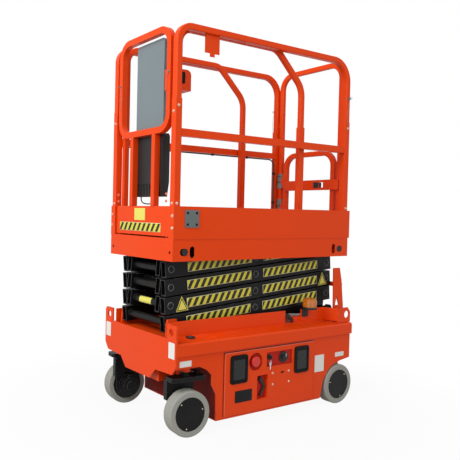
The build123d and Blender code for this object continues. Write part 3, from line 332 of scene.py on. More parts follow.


# ---------------- finishes
# The pale edge colour of the orange paint is a painted highlight along its edges.
orange_paint = finish("orange_powder_coat", ORANGE, 0.36, ORANGE_EDGE_HIGHLIGHT, 0.7, 0.0024, 0.04, bump=0.00012,
                      coat=0.10, drift=0.08, specular=0.10)
black_paint = finish("black_arm_paint", BLACK_PAINT, 0.4, BLACK_EDGE_GREY, 0.9, 0.0022, 0.02, bump=0.00015,
                     specular=0.16)
zinc = finish("zinc_plate", (0.55, 0.56, 0.57, 1), 0.38, (0.75, 0.75, 0.75, 1), 0.3, metallic=0.9,
              dust=0.05)
black_plastic = finish("black_moulding", (0.011, 0.0115, 0.0115, 1), 0.5, BLACK_EDGE_GREY, 0.25,
                       grain=(1400.0, 300.0, 0.2), bump=0.00025, dust=0.04, specular=0.3)
tyre_rubber = finish("grey_tyre", TYRE_GREY, 0.72, (0.40, 0.40, 0.37, 1), 0.3, dust=0.35,
                     grain=(700.0, 60.0, 0.35), bump=0.0006, drift=0.3)
red_plastic = finish("red_button", (0.62, 0.018, 0.012, 1), 0.3, bump=0.00005)
board_grey = finish("board_grey", (0.145, 0.185, 0.200, 1), 0.3, (0.4, 0.44, 0.46, 1), 0.3, bump=0.00015)
plate_grey = finish("plate_grey", (0.105, 0.125, 0.125, 1), 0.36, (0.25, 0.28, 0.28, 1), 0.4, bump=0.0002)
plate_steel = finish("brushed_plate_steel", (0.20, 0.21, 0.21, 1), 0.4, (0.55, 0.55, 0.55, 1), 0.4,
                     metallic=0.35, bump=0.0001, specular=0.3)
cable_rubber = finish("cable_rubber", (0.014, 0.014, 0.015, 1), 0.45, bump=0.0001)
battery_case = finish("battery_case", (0.05, 0.05, 0.055, 1), 0.55, bump=0.0003, dust=0.3)


def amber_glass():
    """The beacon's moulded amber lens."""
    material, tree, shader = new_material("amber_lens")
    shader.inputs["Base Color"].default_value = (0.95, 0.30, 0.02, 1)
    shader.inputs["Roughness"].default_value = 0.18
    shader.inputs["Transmission Weight"].default_value = 0.55
    shader.inputs["IOR"].default_value = 1.49
    place = add_node(tree, "TexCoord", (-800, -200))
    ribs = add_node(tree, "TexWave", (-600, -200), bands_direction="Z",
                    sockets=(("Scale", 60.0), ("Distortion", 0.3)))
    relief = add_node(tree, "Bump", (-300, -200), sockets=(("Strength", 1.0), ("Distance", 0.0008)))
    join(tree, place, "Object", ribs, "Vector")
    join(tree, ribs, "Fac", relief, "Height")
    join(tree, relief, "Normal", shader, "Normal")
    return material


slot_finish = {
    "orange": orange_paint,
    "black_metal": black_paint,
    "steel": zinc,
    "tyre_grey": tyre_rubber,
    "black_plastic": black_plastic,
    "red_plastic": red_plastic,
    "amber_lens": amber_glass(),
    "grey_panel": board_grey,
    "battery": battery_case,
    "cable_black": cable_rubber,
}
own_finish = {
    "side_plates": plate_grey,
    "gate_hinges": plate_steel,
}


def dress_nodes():
    """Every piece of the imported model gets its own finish, or else the one of its slot."""
    slot_of = {part["node"]: part["material_slot"] for part in frame["record"]["subparts"]}
    for name, node in nodes.items():
        material = own_finish.get(name, slot_finish[slot_of[name]])
        if not node.material_slots:
            node.data.materials.append(material)
        for slot in node.material_slots:
            slot.material = material


# ---------------- trim helpers
def new_piece(name, bm, body, slot, material, *stands_for):
    """A bmesh made into a piece: smooth faces with crisp corners, one finish, riding on one body."""
    bmesh.ops.remove_doubles(bm, verts=bm.verts, dist=1e-6)
    bmesh.ops.recalc_face_normals(bm, faces=bm.faces)
    mesh = bpy.data.meshes.new(name)
    bm.to_mesh(mesh)
    bm.free()
    for polygon in mesh.polygons:
        polygon.use_smooth = True
    mesh.set_sharp_from_angle(angle=radians(35))
    mesh.materials.append(material)
    piece = bpy.data.objects.new(name, mesh)
    bpy.context.scene.collection.objects.link(piece)
    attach(piece, body)
    if stands_for:
        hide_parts(*stands_for)
    return piece


def add_slab(bm, low, high, bevel=0.0, turn=None):
    """A block between two corners with its edges rounded, turned by a matrix if one is given."""
    size = Vector(high) - Vector(low)
    verts = bmesh.ops.create_cube(bm, size=1)["verts"]
    bmesh.ops.scale(bm, vec=size, verts=verts)
    bmesh.ops.translate(bm, vec=(Vector(low) + Vector(high)) / 2, verts=verts)
    if bevel:
        edges = {edge for vert in verts for edge in vert.link_edges}
        rounded = bmesh.ops.bevel(bm, geom=list(edges), offset=bevel, offset_type="OFFSET",
                                  affect="EDGES", segments=2, profile=0.5, material=-1)
        left = {vert for vert in verts if vert.is_valid}
        verts = list({vert for face in rounded["faces"] for vert in face.verts} | left)
    if turn is not None:
        bmesh.ops.transform(bm, matrix=turn, verts=verts)


def facing(place, outwards, spin=0.0):
    """The matrix that lays a shape made about +Z onto a place, facing outwards."""
    turn = Vector((0, 0, 1)).rotation_difference(Vector(outwards)).to_matrix().to_4x4()
    return Matrix.Translation(place) @ turn @ Matrix.Rotation(spin, 4, "Z")


def add_rod(bm, start, end, radius, tip=None, segments=18):
    """A round rod between two points; tip is its radius at the far end."""
    start, end = Vector(start), Vector(end)
    made = bmesh.ops.create_cone(bm, cap_ends=True, segments=segments, radius1=radius,
                                 radius2=radius if tip is None else tip, depth=(end - start).length)
    bmesh.ops.transform(bm, matrix=facing((start + end) / 2, end - start), verts=made["verts"])


def add_wire(bm, start, bends):
    """A thin wire of straight runs, from a point through its bends, each given from that point."""
    points = [start] + [start + Vector(bend) for bend in bends]
    for near, far in zip(points, points[1:]):
        add_rod(bm, near, far, 0.0009, segments=8)


def add_ring(bm, place, outwards, radius, wire, segments=28, around=8):
    """A ring of round wire that lies flat on a face."""
    verts = bmesh.ops.create_circle(bm, segments=around, radius=wire)["verts"]
    bmesh.ops.rotate(bm, matrix=Matrix.Rotation(pi / 2, 3, "X"), verts=verts)
    bmesh.ops.translate(bm, vec=(radius, 0, 0), verts=verts)
    edges = list({edge for vert in verts for edge in vert.link_edges})
    made = bmesh.ops.spin(bm, geom=edges, axis=(0, 0, 1), cent=(0, 0, 0), angle=2 * pi, steps=segments,
                          use_merge=True)
    ring = {v for v in made["geom_last"] if isinstance(v, bmesh.types.BMVert)} | set(verts)
    grown = True
    while grown:
        more = {edge.other_vert(vert) for vert in ring for edge in vert.link_edges} - ring
        ring |= more
        grown = bool(more)
    bmesh.ops.transform(bm, matrix=facing(place, outwards), verts=list(ring))


def add_bolt(bm, place, outwards, radius):
    """A hexagon head on its washer."""
    place, outwards = Vector(place), Vector(outwards).normalized()
    add_rod(bm, place - outwards * BITE, place + outwards * radius * 0.22, radius * 1.35, segments=16)
    head = bmesh.ops.create_cone(bm, cap_ends=True, segments=6, radius1=radius, radius2=radius * 0.86,
                                 depth=radius * 0.8)["verts"]
    bmesh.ops.transform(bm, matrix=facing(place + outwards * radius * 0.6, outwards, 0.3), verts=head)


def add_outline(bm, points, normal, thickness):
    """A thin plate of any straight-sided outline, grown along its normal."""
    face = bm.faces.new([bm.verts.new(point) for point in points])
    grown = bmesh.ops.extrude_face_region(bm, geom=[face])["geom"]
    moved = [item for item in grown if isinstance(item, bmesh.types.BMVert)]
    bmesh.ops.translate(bm, vec=Vector(normal) * thickness, verts=moved)


def add_round_plate(bm, low, high, axis, radius, step=0.0, rim=0.0):
    """A plate with round corners, thin along one axis; with a rim, its middle is sunk by step."""
    across = [i for i in range(3) if i != axis]
    out = 1 if high[axis] > low[axis] else -1
    corners = []
    for a, b in ((0, 0), (1, 0), (1, 1), (0, 1)):
        corner = [0.0, 0.0, 0.0]
        corner[axis] = low[axis]
        corner[across[0]] = (low, high)[a][across[0]]
        corner[across[1]] = (low, high)[b][across[1]]
        corners.append(bm.verts.new(corner))
    older = set(bm.faces)
    bm.faces.new(corners)
    bmesh.ops.bevel(bm, geom=corners, offset=radius, offset_type="OFFSET", affect="VERTICES",
                    segments=5, profile=0.5, material=-1)
    face = max((f for f in bm.faces if f not in older), key=lambda f: f.calc_area())
    grown = bmesh.ops.extrude_face_region(bm, geom=[face])["geom"]
    top = [item for item in grown if isinstance(item, bmesh.types.BMFace)][0]
    vec = [0.0, 0.0, 0.0]
    vec[axis] = high[axis] - low[axis]
    bmesh.ops.translate(bm, vec=vec, verts=top.verts[:])
    if rim:
        bmesh.ops.inset_region(bm, faces=[top], thickness=rim)
        bmesh.ops.inset_region(bm, faces=[top], thickness=abs(step) * 0.6)
        vec[axis] = -out * step
        bmesh.ops.translate(bm, vec=vec, verts=top.verts[:])


def corners_of(node):
    """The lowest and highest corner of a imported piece."""
    low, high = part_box(node)
    return Vector(low), Vector(high)


def mirrored(side, near, far):
    """Two distances from the middle plane as Y values of one side, the lower first."""
    return sorted((side * near, side * far))


# ---------------- finishes of the trim
def striped_tape(name, along, tilt, pitch, lean, share):
    """Yellow film with slanted black bars, along X or Y of the machine; share is how much of it is black."""
    material, tree, shader = new_material(name)
    shader.inputs["Specular IOR Level"].default_value = 0.3
    place = add_node(tree, "TexCoord", (-1300, 0))
    level = add_node(tree, "Mapping", (-1100, 0), sockets=(("Rotation", (0, -tilt, 0)),))
    split = add_node(tree, "SeparateXYZ", (-900, 0))
    slanted = add_node(tree, "Math", (-700, 0), operation="MULTIPLY_ADD", sockets=((1, lean),))
    turns = add_node(tree, "Math", (-500, 0), operation="DIVIDE", sockets=((1, pitch),))
    part = add_node(tree, "Math", (-300, 0), operation="FRACT")
    bar = add_node(tree, "Math", (-100, 0), operation="LESS_THAN", sockets=((1, share),))
    join(tree, place, "Object", level, "Vector")
    join(tree, level, "Vector", split, "Vector")
    join(tree, split, "Z", slanted, 0)
    join(tree, split, along, slanted, 2)
    join(tree, slanted, "Value", turns, 0)
    join(tree, turns, "Value", part, 0)
    join(tree, part, "Value", bar, 0)
    tone = use_group(tree, "tone", (-300, 300), Color=WARNING_YELLOW, Drift=0.22, Scale=14.0)
    painted = mix_colours(tree, (100, 200), (bar, "Value"), (tone, "Color"), TAPE_BLACK)
    tree.links.new(painted.outputs[MIX_RESULT], shader.inputs["Base Color"])
    scuffs = add_node(tree, "TexNoise", (-300, -300), sockets=(("Scale", 60.0), ("Detail", 4.0)))
    gloss = add_node(tree, "MapRange", (-100, -300), sockets=(("To Min", 0.28), ("To Max", 0.55)))
    join(tree, place, "Object", scuffs, "Vector")
    join(tree, scuffs, "Fac", gloss, "Value")
    join(tree, gloss, "Result", shader, "Roughness")
    return material


low_first, high_first = corners_of("outer_arms_1")
low_second, high_second = corners_of("outer_arms_2")
ARM_RISE = (low_second.z + high_second.z - low_first.z - high_first.z) / 2
ARM_TILT = atan2(ARM_RISE, ARM_RUN)
arm_tape = striped_tape("arm_warning_tape", "X", ARM_TILT, 0.047, 0.62, 0.52)
toe_tape = striped_tape("toe_board_warning_tape", "Y", 0.0, 0.0485, -0.62, 0.50)
label_yellow = finish("yellow_label_film", (0.72, 0.66, 0.12, 1), 0.4, bump=0.00003, drift=0.1,
                      specular=0.3)
label_white = finish("white_label_film", LABEL_WHITE, 0.4, bump=0.00003, drift=0.06, specular=0.3)
label_black = finish("black_label_film", (0.0045, 0.0045, 0.0045, 1), 0.35, bump=0.00003,
                     specular=0.15)
tape_edge = finish("pale_tape_edge", (0.62, 0.60, 0.30, 1), 0.4, bump=0.00003)
pin_steel = finish("worn_pin_steel", (0.20, 0.20, 0.205, 1), 0.4, (0.5, 0.5, 0.5, 1), 0.5, 0.001,
                   metallic=0.5, bump=0.0001)
panel_plastic = finish("moulded_panel", (0.0026, 0.0027, 0.0027, 1), 0.36, (0.06, 0.064, 0.064, 1),
                       0.5, 0.0020, grain=(1500.0, 260.0, 0.25), bump=0.00006, specular=0.10)
panel_window = finish("panel_window", (0.0125, 0.0145, 0.0140, 1), 0.25, bump=0.00004, specular=0.25)
# Painted shade: a dark red that stands for the shade inside the front wheel arches.
arch_shade_red = finish("painted_arch_shade", (0.17, 0.008, 0.0025, 1), 0.5, bump=0.0001, specular=0.1)
# Painted shade: a deeper red that stands for the shade in the door's recesses.
recess_shade_red = finish("painted_recess_shade", (0.44, 0.012, 0.004, 1), 0.4, bump=0.0001, specular=0.15)
fresh_bolt = finish("bright_bolt", (0.66, 0.54, 0.40, 1), 0.3, metallic=0.55, bump=0.00006)
painted_bolt = finish("painted_bolt", (0.80, 0.16, 0.09, 1), 0.32, (0.85, 0.5, 0.4, 1), 0.5, 0.0012,
                      bump=0.00006)
weld_paint = finish("bright_weld_paint", (0.82, 0.10, 0.045, 1), 0.3, (0.9, 0.45, 0.3, 1), 0.8, 0.004,
                    bump=0.0004, specular=0.3)


# ---------------- trim of the scissor arms
ARM_TAPES = ((0.514, 0.036), (-0.060, -0.538))     # front and rear end, from the arm's middle pin
TRIANGLES = (0.549, -0.589)    # middles of the triangles on the second arms, from the middle pin


def on_arm(level, along, across):
    """A point on an outer arm: distance forward of its middle pin, and above its centre line."""
    low, high = corners_of("outer_arms_%d" % level)
    middle = (low + high) / 2
    run = Vector((cos(ARM_TILT), 0, -sin(ARM_TILT)))
    rise = Vector((sin(ARM_TILT), 0, cos(ARM_TILT)))
    return Vector((middle.x, 0, middle.z)) + run * along + rise * across


def arm_tapes():
    """Two warning tapes on each outer arm, on both sides of the machine, each on its pale backing."""
    tape_half = 0.0265
    film_half = 0.0235
    for level in range(1, 5):
        backing = bmesh.new()
        film = bmesh.new()
        for side in (1, -1):
            for near, far in ARM_TAPES:
                middle = on_arm(level, (near + far) / 2, 0)
                middle.y = side * ARM_FACE
                turn = Matrix.Translation(middle) @ Matrix.Rotation(ARM_TILT, 4, "Y")
                half = (near - far) / 2
                add_slab(backing, (-half, -BITE, -tape_half), (half, 0.0005, tape_half), 0.0002, turn)
                add_slab(film, (-half + 0.003, -0.0002 * side, -film_half),
                         (half - 0.003, 0.0009 * side, film_half), 0.0, turn)
        body = "outer_arms_%d" % level
        new_piece("tape_backing_%d" % level, backing, body, "black_metal", tape_edge)
        new_piece("warning_tape_%d" % level, film, body, "black_metal", arm_tape)


def arm_pin_caps():
    """Pin ends with their rings at both ends and the middle of each outer arm."""
    for level in range(1, 5):
        caps = bmesh.new()
        for side in (1, -1):
            for along in (ARM_END, 0.0, -ARM_END):
                place = on_arm(level, along, 0)
                place.y = side * ARM_FACE
                out = Vector((0, side, 0))
                add_ring(caps, place + out * 0.0006, out, 0.0185, 0.0013)
                add_rod(caps, place, place + out * 0.0016, 0.0110, 0.0100)
        new_piece("pin_rings_%d" % level, caps, "outer_arms_%d" % level, "black_metal", pin_steel)


def arm_triangles():
    """Blank yellow triangles with a black line round them on the second arms."""
    border = bmesh.new()
    film = bmesh.new()
    layer = 0.0006
    # half width, foot and tip from the arm's centre line, and how far the layer stands out
    layers = ((film, 0.043, -0.041, 0.043, 0.0006), (border, 0.0365, -0.0375, 0.0345, 0.0009),
              (film, 0.0290, -0.0335, 0.0235, 0.0012))
    for side in (1, -1):
        for along in TRIANGLES:
            for bm, half, foot, tip, lift in layers:
                points = [on_arm(2, along + half, foot), on_arm(2, along - half, foot),
                          on_arm(2, along, tip)]
                for point in points:
                    point.y = side * (ARM_FACE + lift - layer)
                add_outline(bm, points, (0, side, 0), layer)
    new_piece("triangle_borders", border, "outer_arms_2", "black_metal", label_black)
    new_piece("triangle_films", film, "outer_arms_2", "black_metal", label_yellow)


def cross_tube_label():
    """A blank yellow label bent round the front cross tube of the second arms."""
    low, high = corners_of("inner_arms_2")
    centre = Vector((FRONT_PIN_X, 0, (low.z + high.z) / 2 - ARM_RISE / 2))
    bm = bmesh.new()
    ends = [bm.verts.new((centre.x + 0.0236, y, centre.z)) for y in (-0.064, 0.060)]
    edge = bm.edges.new(ends)
    bmesh.ops.rotate(bm, cent=centre, matrix=Matrix.Rotation(radians(-62), 3, "Y"), verts=ends)
    bmesh.ops.spin(bm, geom=[edge], cent=centre, axis=(0, 1, 0), angle=radians(96), steps=12)
    bmesh.ops.solidify(bm, geom=bm.faces[:], thickness=-0.0006)
    new_piece("cross_tube_label", bm, "inner_arms_2", "black_metal", label_yellow)


# ---------------- trim of the doors
# on the left door: distance forward of its middle, and height
DOOR_BOLTS = ((-0.010, 0.272), (-0.012, 0.206), (-0.141, 0.270), (-0.144, 0.206))
DOOR_LABEL = ((0.150, 0.137), (0.277, 0.204))
# x and z of two corners, inside each recess
KEY_RECESS = ((-0.1665, 0.3125), (0.0425, 0.3965))
LEVER_RECESS = ((0.0325, 0.1315), (0.1155, 0.2695))
STOP_RECESS = 0.0515           # radius of the painted shade round the emergency stop


def door_panels():
    """Moulded black covers with a sunk window, in place of the louvres of both doors."""
    front_width = 0.126
    rear_width = 0.120
    for side, door in ((1, "left_door"), (-1, "right_door")):
        low, high = corners_of(door + "_vents")
        face = low.y if side > 0 else high.y
        cover = bmesh.new()
        window = bmesh.new()
        for near, far in ((high.x, high.x - front_width), (low.x + rear_width, low.x)):
            add_round_plate(cover, (far, face, low.z - 0.008),
                            (near, face + side * 0.0068, high.z + 0.004), 1, 0.016, step=0.003, rim=0.012)
            add_round_plate(window, (far + 0.020, face + side * 0.003, low.z + 0.014),
                            (near - 0.020, face + side * 0.0052, high.z - 0.022), 1, 0.006)
            add_slab(window, (far + 0.024, face + side * 0.003, high.z - 0.034),
                     (near - 0.024, face + side * 0.0056, high.z - 0.031))
        new_piece(door + "_panel_frames", cover, door, "black_plastic", panel_plastic, door + "_vents")
        new_piece(door + "_panel_windows", window, door, "black_plastic", panel_window)


def left_door_trim():
    """Label plate and bolts of the left door, and a painted highlight along its top and front edges."""
    low, high = corners_of("left_door")
    face = high.y
    middle = (low.x + high.x) / 2
    (x0, z0), (x1, z1) = DOOR_LABEL
    plate = bmesh.new()
    add_round_plate(plate, (middle + x0, face, z0), (middle + x1, face + 0.0012, z1), 1, 0.004)
    new_piece("door_label", plate, "left_door", "black_plastic", label_black)
    bolts = bmesh.new()
    for x, z in DOOR_BOLTS:
        add_bolt(bolts, (middle + x, face, z), (0, 1, 0), 0.0050)
    new_piece("door_bolts", bolts, "left_door", "steel", fresh_bolt)
    # Pale strips along the top and front edges: a painted highlight of the light on the door's folded edges.
    lip = bmesh.new()
    along_top = ((low.x + 0.004, high.z - 0.0032), (high.x - 0.001, high.z - 0.0002))
    down_front = ((high.x - 0.0032, low.z + 0.002), (high.x - 0.0002, high.z - 0.004))
    for (x0, z0), (x1, z1) in (along_top, down_front):
        add_slab(lip, (x0, face - BITE, z0), (x1, face + 0.0005, z1), 0.0003)
    new_piece("door_edge_highlight", lip, "left_door", "orange", painted_bolt)


def key_and_knob():
    """The key that hangs in its switch, and the white pointer of the knob beside it."""
    low, high = corners_of("key_switch")
    steel = bmesh.new()
    x = high.x - 0.015
    add_ring(steel, (x, high.y - 0.012, low.z + 0.018), (1, 0.2, 0), 0.008, 0.0010, 20, 6)
    add_slab(steel, (x - 0.004, high.y - 0.0135, low.z - 0.026), (x + 0.004, high.y - 0.0115, low.z + 0.012),
             0.0004)
    add_rod(steel, (x, high.y - 0.0140, low.z + 0.008), (x, high.y - 0.0110, low.z + 0.008), 0.0085)
    new_piece("hanging_key", steel, "left_door", "steel", zinc)
    mark = bmesh.new()
    knob = Vector((low.x + 0.034, high.y, (low.z + high.z) / 2))
    add_slab(mark, (knob.x - 0.0018, knob.y - 0.0008, knob.z + 0.004),
             (knob.x + 0.0018, knob.y, knob.z + 0.024), 0.0003)
    new_piece("knob_pointer", mark, "left_door", "black_plastic", label_white)


def door_gap_shadows():
    """Dark strips on the side panels just outside the edges of both doors: painted shadow of the gap round
    each door.
    """
    low, high = corners_of("left_door")
    gap = 0.0006
    top = high.z + gap
    shadow_strips = bmesh.new()
    for side in (1, -1):
        inner, outer = mirrored(side, SIDE_FACE - 0.0002, SIDE_FACE + 0.0008)
        add_slab(shadow_strips, (low.x - 0.0045, inner, top), (high.x + 0.0040, outer, top + 0.0040))
        add_slab(shadow_strips, (high.x + gap, inner, low.z), (high.x + 0.0040, outer, top))
        add_slab(shadow_strips, (low.x - 0.0045, inner, low.z), (low.x - gap, outer, top))
    new_piece("door_gap_shadows", shadow_strips, "chassis", "orange", cable_rubber)


def recess_painted_shade():
    """Painted shade: deeper red films on the floors of the three recesses of the left door."""
    key_floor = corners_of("key_switch")[0].y
    lever_floor = corners_of("brake_lever")[0].y
    stop_low, stop_high = corners_of("emergency_stop")
    stop = (stop_low + stop_high) / 2
    shade_films = bmesh.new()
    for floor, ((x0, z0), (x1, z1)) in ((key_floor, KEY_RECESS), (lever_floor, LEVER_RECESS)):
        add_slab(shade_films, (x0, floor - 0.0003, z0), (x1, floor - 0.0001, z1))
    add_rod(shade_films, (stop.x, stop_low.y - 0.0003, stop.z), (stop.x, stop_low.y - 0.0001, stop.z),
            STOP_RECESS, segments=40)
    new_piece("recess_painted_shade", shade_films, "left_door", "orange", recess_shade_red)


# ---------------- trim of the chassis
# front and rear end, foot and top of the plain labels on a side panel
SIDE_LABELS = ((0.586, 0.664, 0.383, 0.415), (-0.455, -0.371, 0.226, 0.331), (-0.640, -0.558, 0.302, 0.330))
# front and rear end of the weld tabs along the wall round the well
WELD_TABS = ((0.470, 0.356), (0.122, 0.059), (-0.121, -0.180), (-0.338, -0.401), (-0.503, -0.560))
GROMMET = (0.548, 0.300)       # x and y of the cable grommets in the shelf


def arch_painted_shade():
    """Painted shade: dark red films on the rear wall and the roof of the front wheel arches, where little
    light reaches.
    """
    shade_films = bmesh.new()
    wall = ARCH_WALL - 0.0002
    low_z, high_z = ARCH_ROOF - 0.0006, ARCH_ROOF + 0.0002
    for side in (1, -1):
        inner, outer = mirrored(side, 0.020, 0.356)
        add_slab(shade_films, (wall, inner, 0.062), (ARCH_WALL + 0.0004, outer, ARCH_ROOF - 0.0005))
        for rear, front in ((wall, HOUSING_X[0]), (HOUSING_X[1], ARCH_END)):
            add_slab(shade_films, (rear, inner, low_z), (front, outer, high_z))
    new_piece("arch_painted_shade", shade_films, "chassis", "orange", arch_shade_red)


def chassis_labels():
    """Blank labels on the side panels and under the front lugs."""
    white = bmesh.new()
    for side in (1, -1):
        for x0, x1, z0, z1 in SIDE_LABELS:
            add_round_plate(white, (x0, side * SIDE_FACE, z0), (x1, side * (SIDE_FACE + LABEL), z1), 1,
                            0.003)
    panel = corners_of("front_panel")[1]
    for side in (1, -1):
        inner, outer = mirrored(side, panel.y - 0.012, panel.y - 0.068)
        add_round_plate(white, (panel.x, inner, panel.z - 0.100), (panel.x + LABEL, outer, panel.z - 0.014),
                        0, 0.003)
    new_piece("plain_white_labels", white, "chassis", "orange", label_white)


def shelf_trim():
    """Weld tabs along the foot of the wall round the well, and two cable grommets."""
    tabs = bmesh.new()
    for side in (1, -1):
        for front, rear in WELD_TABS:
            inner, outer = mirrored(side, RIM_FACE, RIM_FACE + 0.009)
            add_slab(tabs, (rear, inner, SHELF_TOP), (front, outer, SHELF_TOP + 0.010), 0.003)
    new_piece("weld_tabs", tabs, "chassis", "orange", weld_paint)
    rubber = bmesh.new()
    x, y = GROMMET
    lip = SHELF_TOP + 0.010
    for side in (1, -1):
        add_ring(rubber, (x, side * y, lip), (0, 0, 1), 0.021, 0.0055, 28, 10)
        add_rod(rubber, (x, side * y, lip - 0.0040), (x, side * y, lip - 0.0005), 0.019)
    new_piece("shelf_grommets", rubber, "chassis", "black_plastic", black_plastic)


def beacon_trim():
    """Collar round the foot of the beacon's lens."""
    low, high = corners_of("beacon_lens")
    centre = (low + high) / 2
    collar = bmesh.new()
    add_ring(collar, (centre.x, centre.y, low.z + 0.002), (0, 0, 1), 0.0415, 0.0022, 32, 8)
    new_piece("beacon_collar", collar, "chassis", "black_plastic", black_plastic)


# ---------------- trim of the wheels
FIRST_SCREW = {                # degrees round the wheel at rest
    "front_left": 46,
    "front_right": 20,
    "rear_left": 15,
    "rear_right": 80,
}
SCREW_CIRCLE = 0.080
TYRE_RIBS = (0.1000, 0.1130)   # radii
RIB = 0.0018                   # radius of a rib's wire
RIB_DEPTH = 0.0021             # from the side of the tyre in to the middle of the wire


def wheel_trim():
    """Three screws on the cover of each wheel, and two ribs moulded in the side of its tyre."""
    for corner, first in FIRST_SCREW.items():
        tyre_low, tyre_high = corners_of("tyre_" + corner)
        centre = (tyre_low + tyre_high) / 2
        side = 1 if corner.endswith("left") else -1
        lean = radians(WHEEL_LEAN) if corner.startswith("front") else 0.0
        out = Matrix.Rotation(lean, 3, "Z") @ Vector((0, side, 0))
        forward = Matrix.Rotation(lean, 3, "Z") @ Vector((1, 0, 0))
        steel = bmesh.new()
        for number in range(3):
            angle = radians(first + 120 * number)
            spoke = forward * cos(angle) + Vector((0, 0, 1)) * sin(angle)
            add_bolt(steel, centre + out * WHEEL_FACE + spoke * SCREW_CIRCLE, out, 0.0042)
        new_piece("wheel_screws_" + corner, steel, corner + "_wheel", "steel", fresh_bolt)
        ribs = bmesh.new()
        for radius in TYRE_RIBS:
            add_ring(ribs, centre + out * (SIDEWALL - RIB_DEPTH), out, radius, RIB, 64, 6)
        new_piece("tyre_ribs_" + corner, ribs, corner + "_wheel", "tyre_grey", tyre_rubber)


# ---------------- trim of the platform
TOE_LABEL = ((-0.076, 1.154), (0.038, 1.223))      # y and z of two corners on the front toe board
TOE_TAPE = ((-0.241, 1.091), (0.197, 1.141))
TOE_MARGIN = 0.003             # pale edge round the striped film
FOLD_Y = 0.322                 # bolts at the folds of the front toe board
FOLD_Z = (1.183, 1.118)
SLEEVE_Z = (1.765, 1.250)      # heights of the bolts through the side of a post's sleeve
POST_Z = (1.250, 1.735)        # and of those in the front of the front posts
RING_FOOT_Z = (1.262, 1.300)   # bolts in the feet of the roll-out deck's ring
RING_TOP_BOLT = (0.118, 2.190)                         # y and z of the bolts at its top
PIN_Z = (1.955, 1.950)         # heights of the locking pins: main rails, ring
# bends of the lanyards from their pin: along X on the main rails, and across on the ring; and down
RAIL_LANYARD = ((0.010, -0.045), (0.016, -0.100), (0.012, -0.150), (0.000, -0.185))
RING_LANYARD = ((0.014, -0.040), (0.020, -0.090), (0.012, -0.140))
CONTROL_SIDE = ((0.655, 1.902), (0.576, 1.966))        # x and z of two corners
HOLES_X = (0.620, -0.607)      # round holes in the platform's sides
HOLE_FACE = 0.330
HOLE_Z = 0.990


def toe_panel_trim():
    """Label, warning tape and fold bolts on the front toe board of the roll-out deck."""
    face = corners_of("extension_deck")[1].x
    (y0, z0), (y1, z1) = TOE_LABEL
    paper = bmesh.new()
    add_round_plate(paper, (face, y0, z0), (face + LABEL, y1, z1), 0, 0.002)
    new_piece("toe_board_label", paper, "extension", "orange", label_yellow)
    (y0, z0), (y1, z1) = TOE_TAPE
    backing = bmesh.new()
    add_slab(backing, (face - 0.0002, y0, z0), (face + 0.0006, y1, z1), 0.0002)
    new_piece("toe_tape_backing", backing, "extension", "orange", tape_edge)
    film = bmesh.new()
    add_slab(film, (face, y0 + TOE_MARGIN, z0 + TOE_MARGIN),
             (face + 0.0010, y1 - TOE_MARGIN, z1 - TOE_MARGIN))
    new_piece("toe_warning_tape", film, "extension", "orange", toe_tape)
    bolts = bmesh.new()
    front = corners_of("platform_frame")[1].x
    for y in (-FOLD_Y, FOLD_Y):
        for z in FOLD_Z:
            add_bolt(bolts, (front, y, z), (1, 0, 0), 0.0065)
    new_piece("toe_fold_bolts", bolts, "platform", "steel", fresh_bolt)


def side_plate_bolts():
    """Four dark screws in each side plate."""
    low, high = corners_of("side_plates")
    inset = 0.016
    screws = bmesh.new()
    for side in (1, -1):
        out = Vector((0, side, 0))
        for x in (low.x + inset, high.x - inset):
            for z in (low.z + inset, high.z - inset):
                place = Vector((x, side * high.y, z))
                add_rod(screws, place - out * BITE, place + out * 0.0016, 0.0075, 0.0068)
                add_ring(screws, place + out * 0.0012, out, 0.0044, 0.0009, 16, 6)
    new_piece("side_plate_screws", screws, "platform", "black_metal", panel_plastic)


def rail_bolts():
    """Bolts through the sleeves and feet of the rail posts."""
    fixed = bmesh.new()
    moving = bmesh.new()
    low, high = corners_of("main_rail_left")
    for side in (1, -1):
        for x in (high.x - 0.017, low.x + 0.017):
            for z in SLEEVE_Z:
                add_bolt(fixed, (x, side * high.y, z), (0, side, 0), 0.0060)
        for z in POST_Z:
            add_bolt(fixed, (high.x, side * (high.y - 0.020), z), (1, 0, 0), 0.0060)
    ring = corners_of("extension_end_frame")[1]
    top_y, top_z = RING_TOP_BOLT
    for side in (1, -1):
        y = side * (ring.y - 0.014)
        for z in RING_FOOT_Z:
            add_bolt(moving, (ring.x, y, z), (1, 0, 0), 0.0058)
        add_bolt(moving, (ring.x - 0.006, side * top_y, top_z), (1, 0, 0), 0.0050)
    new_piece("main_rail_bolts", fixed, "platform", "steel", fresh_bolt)
    new_piece("roll_out_bolts", moving, "extension", "steel", painted_bolt)


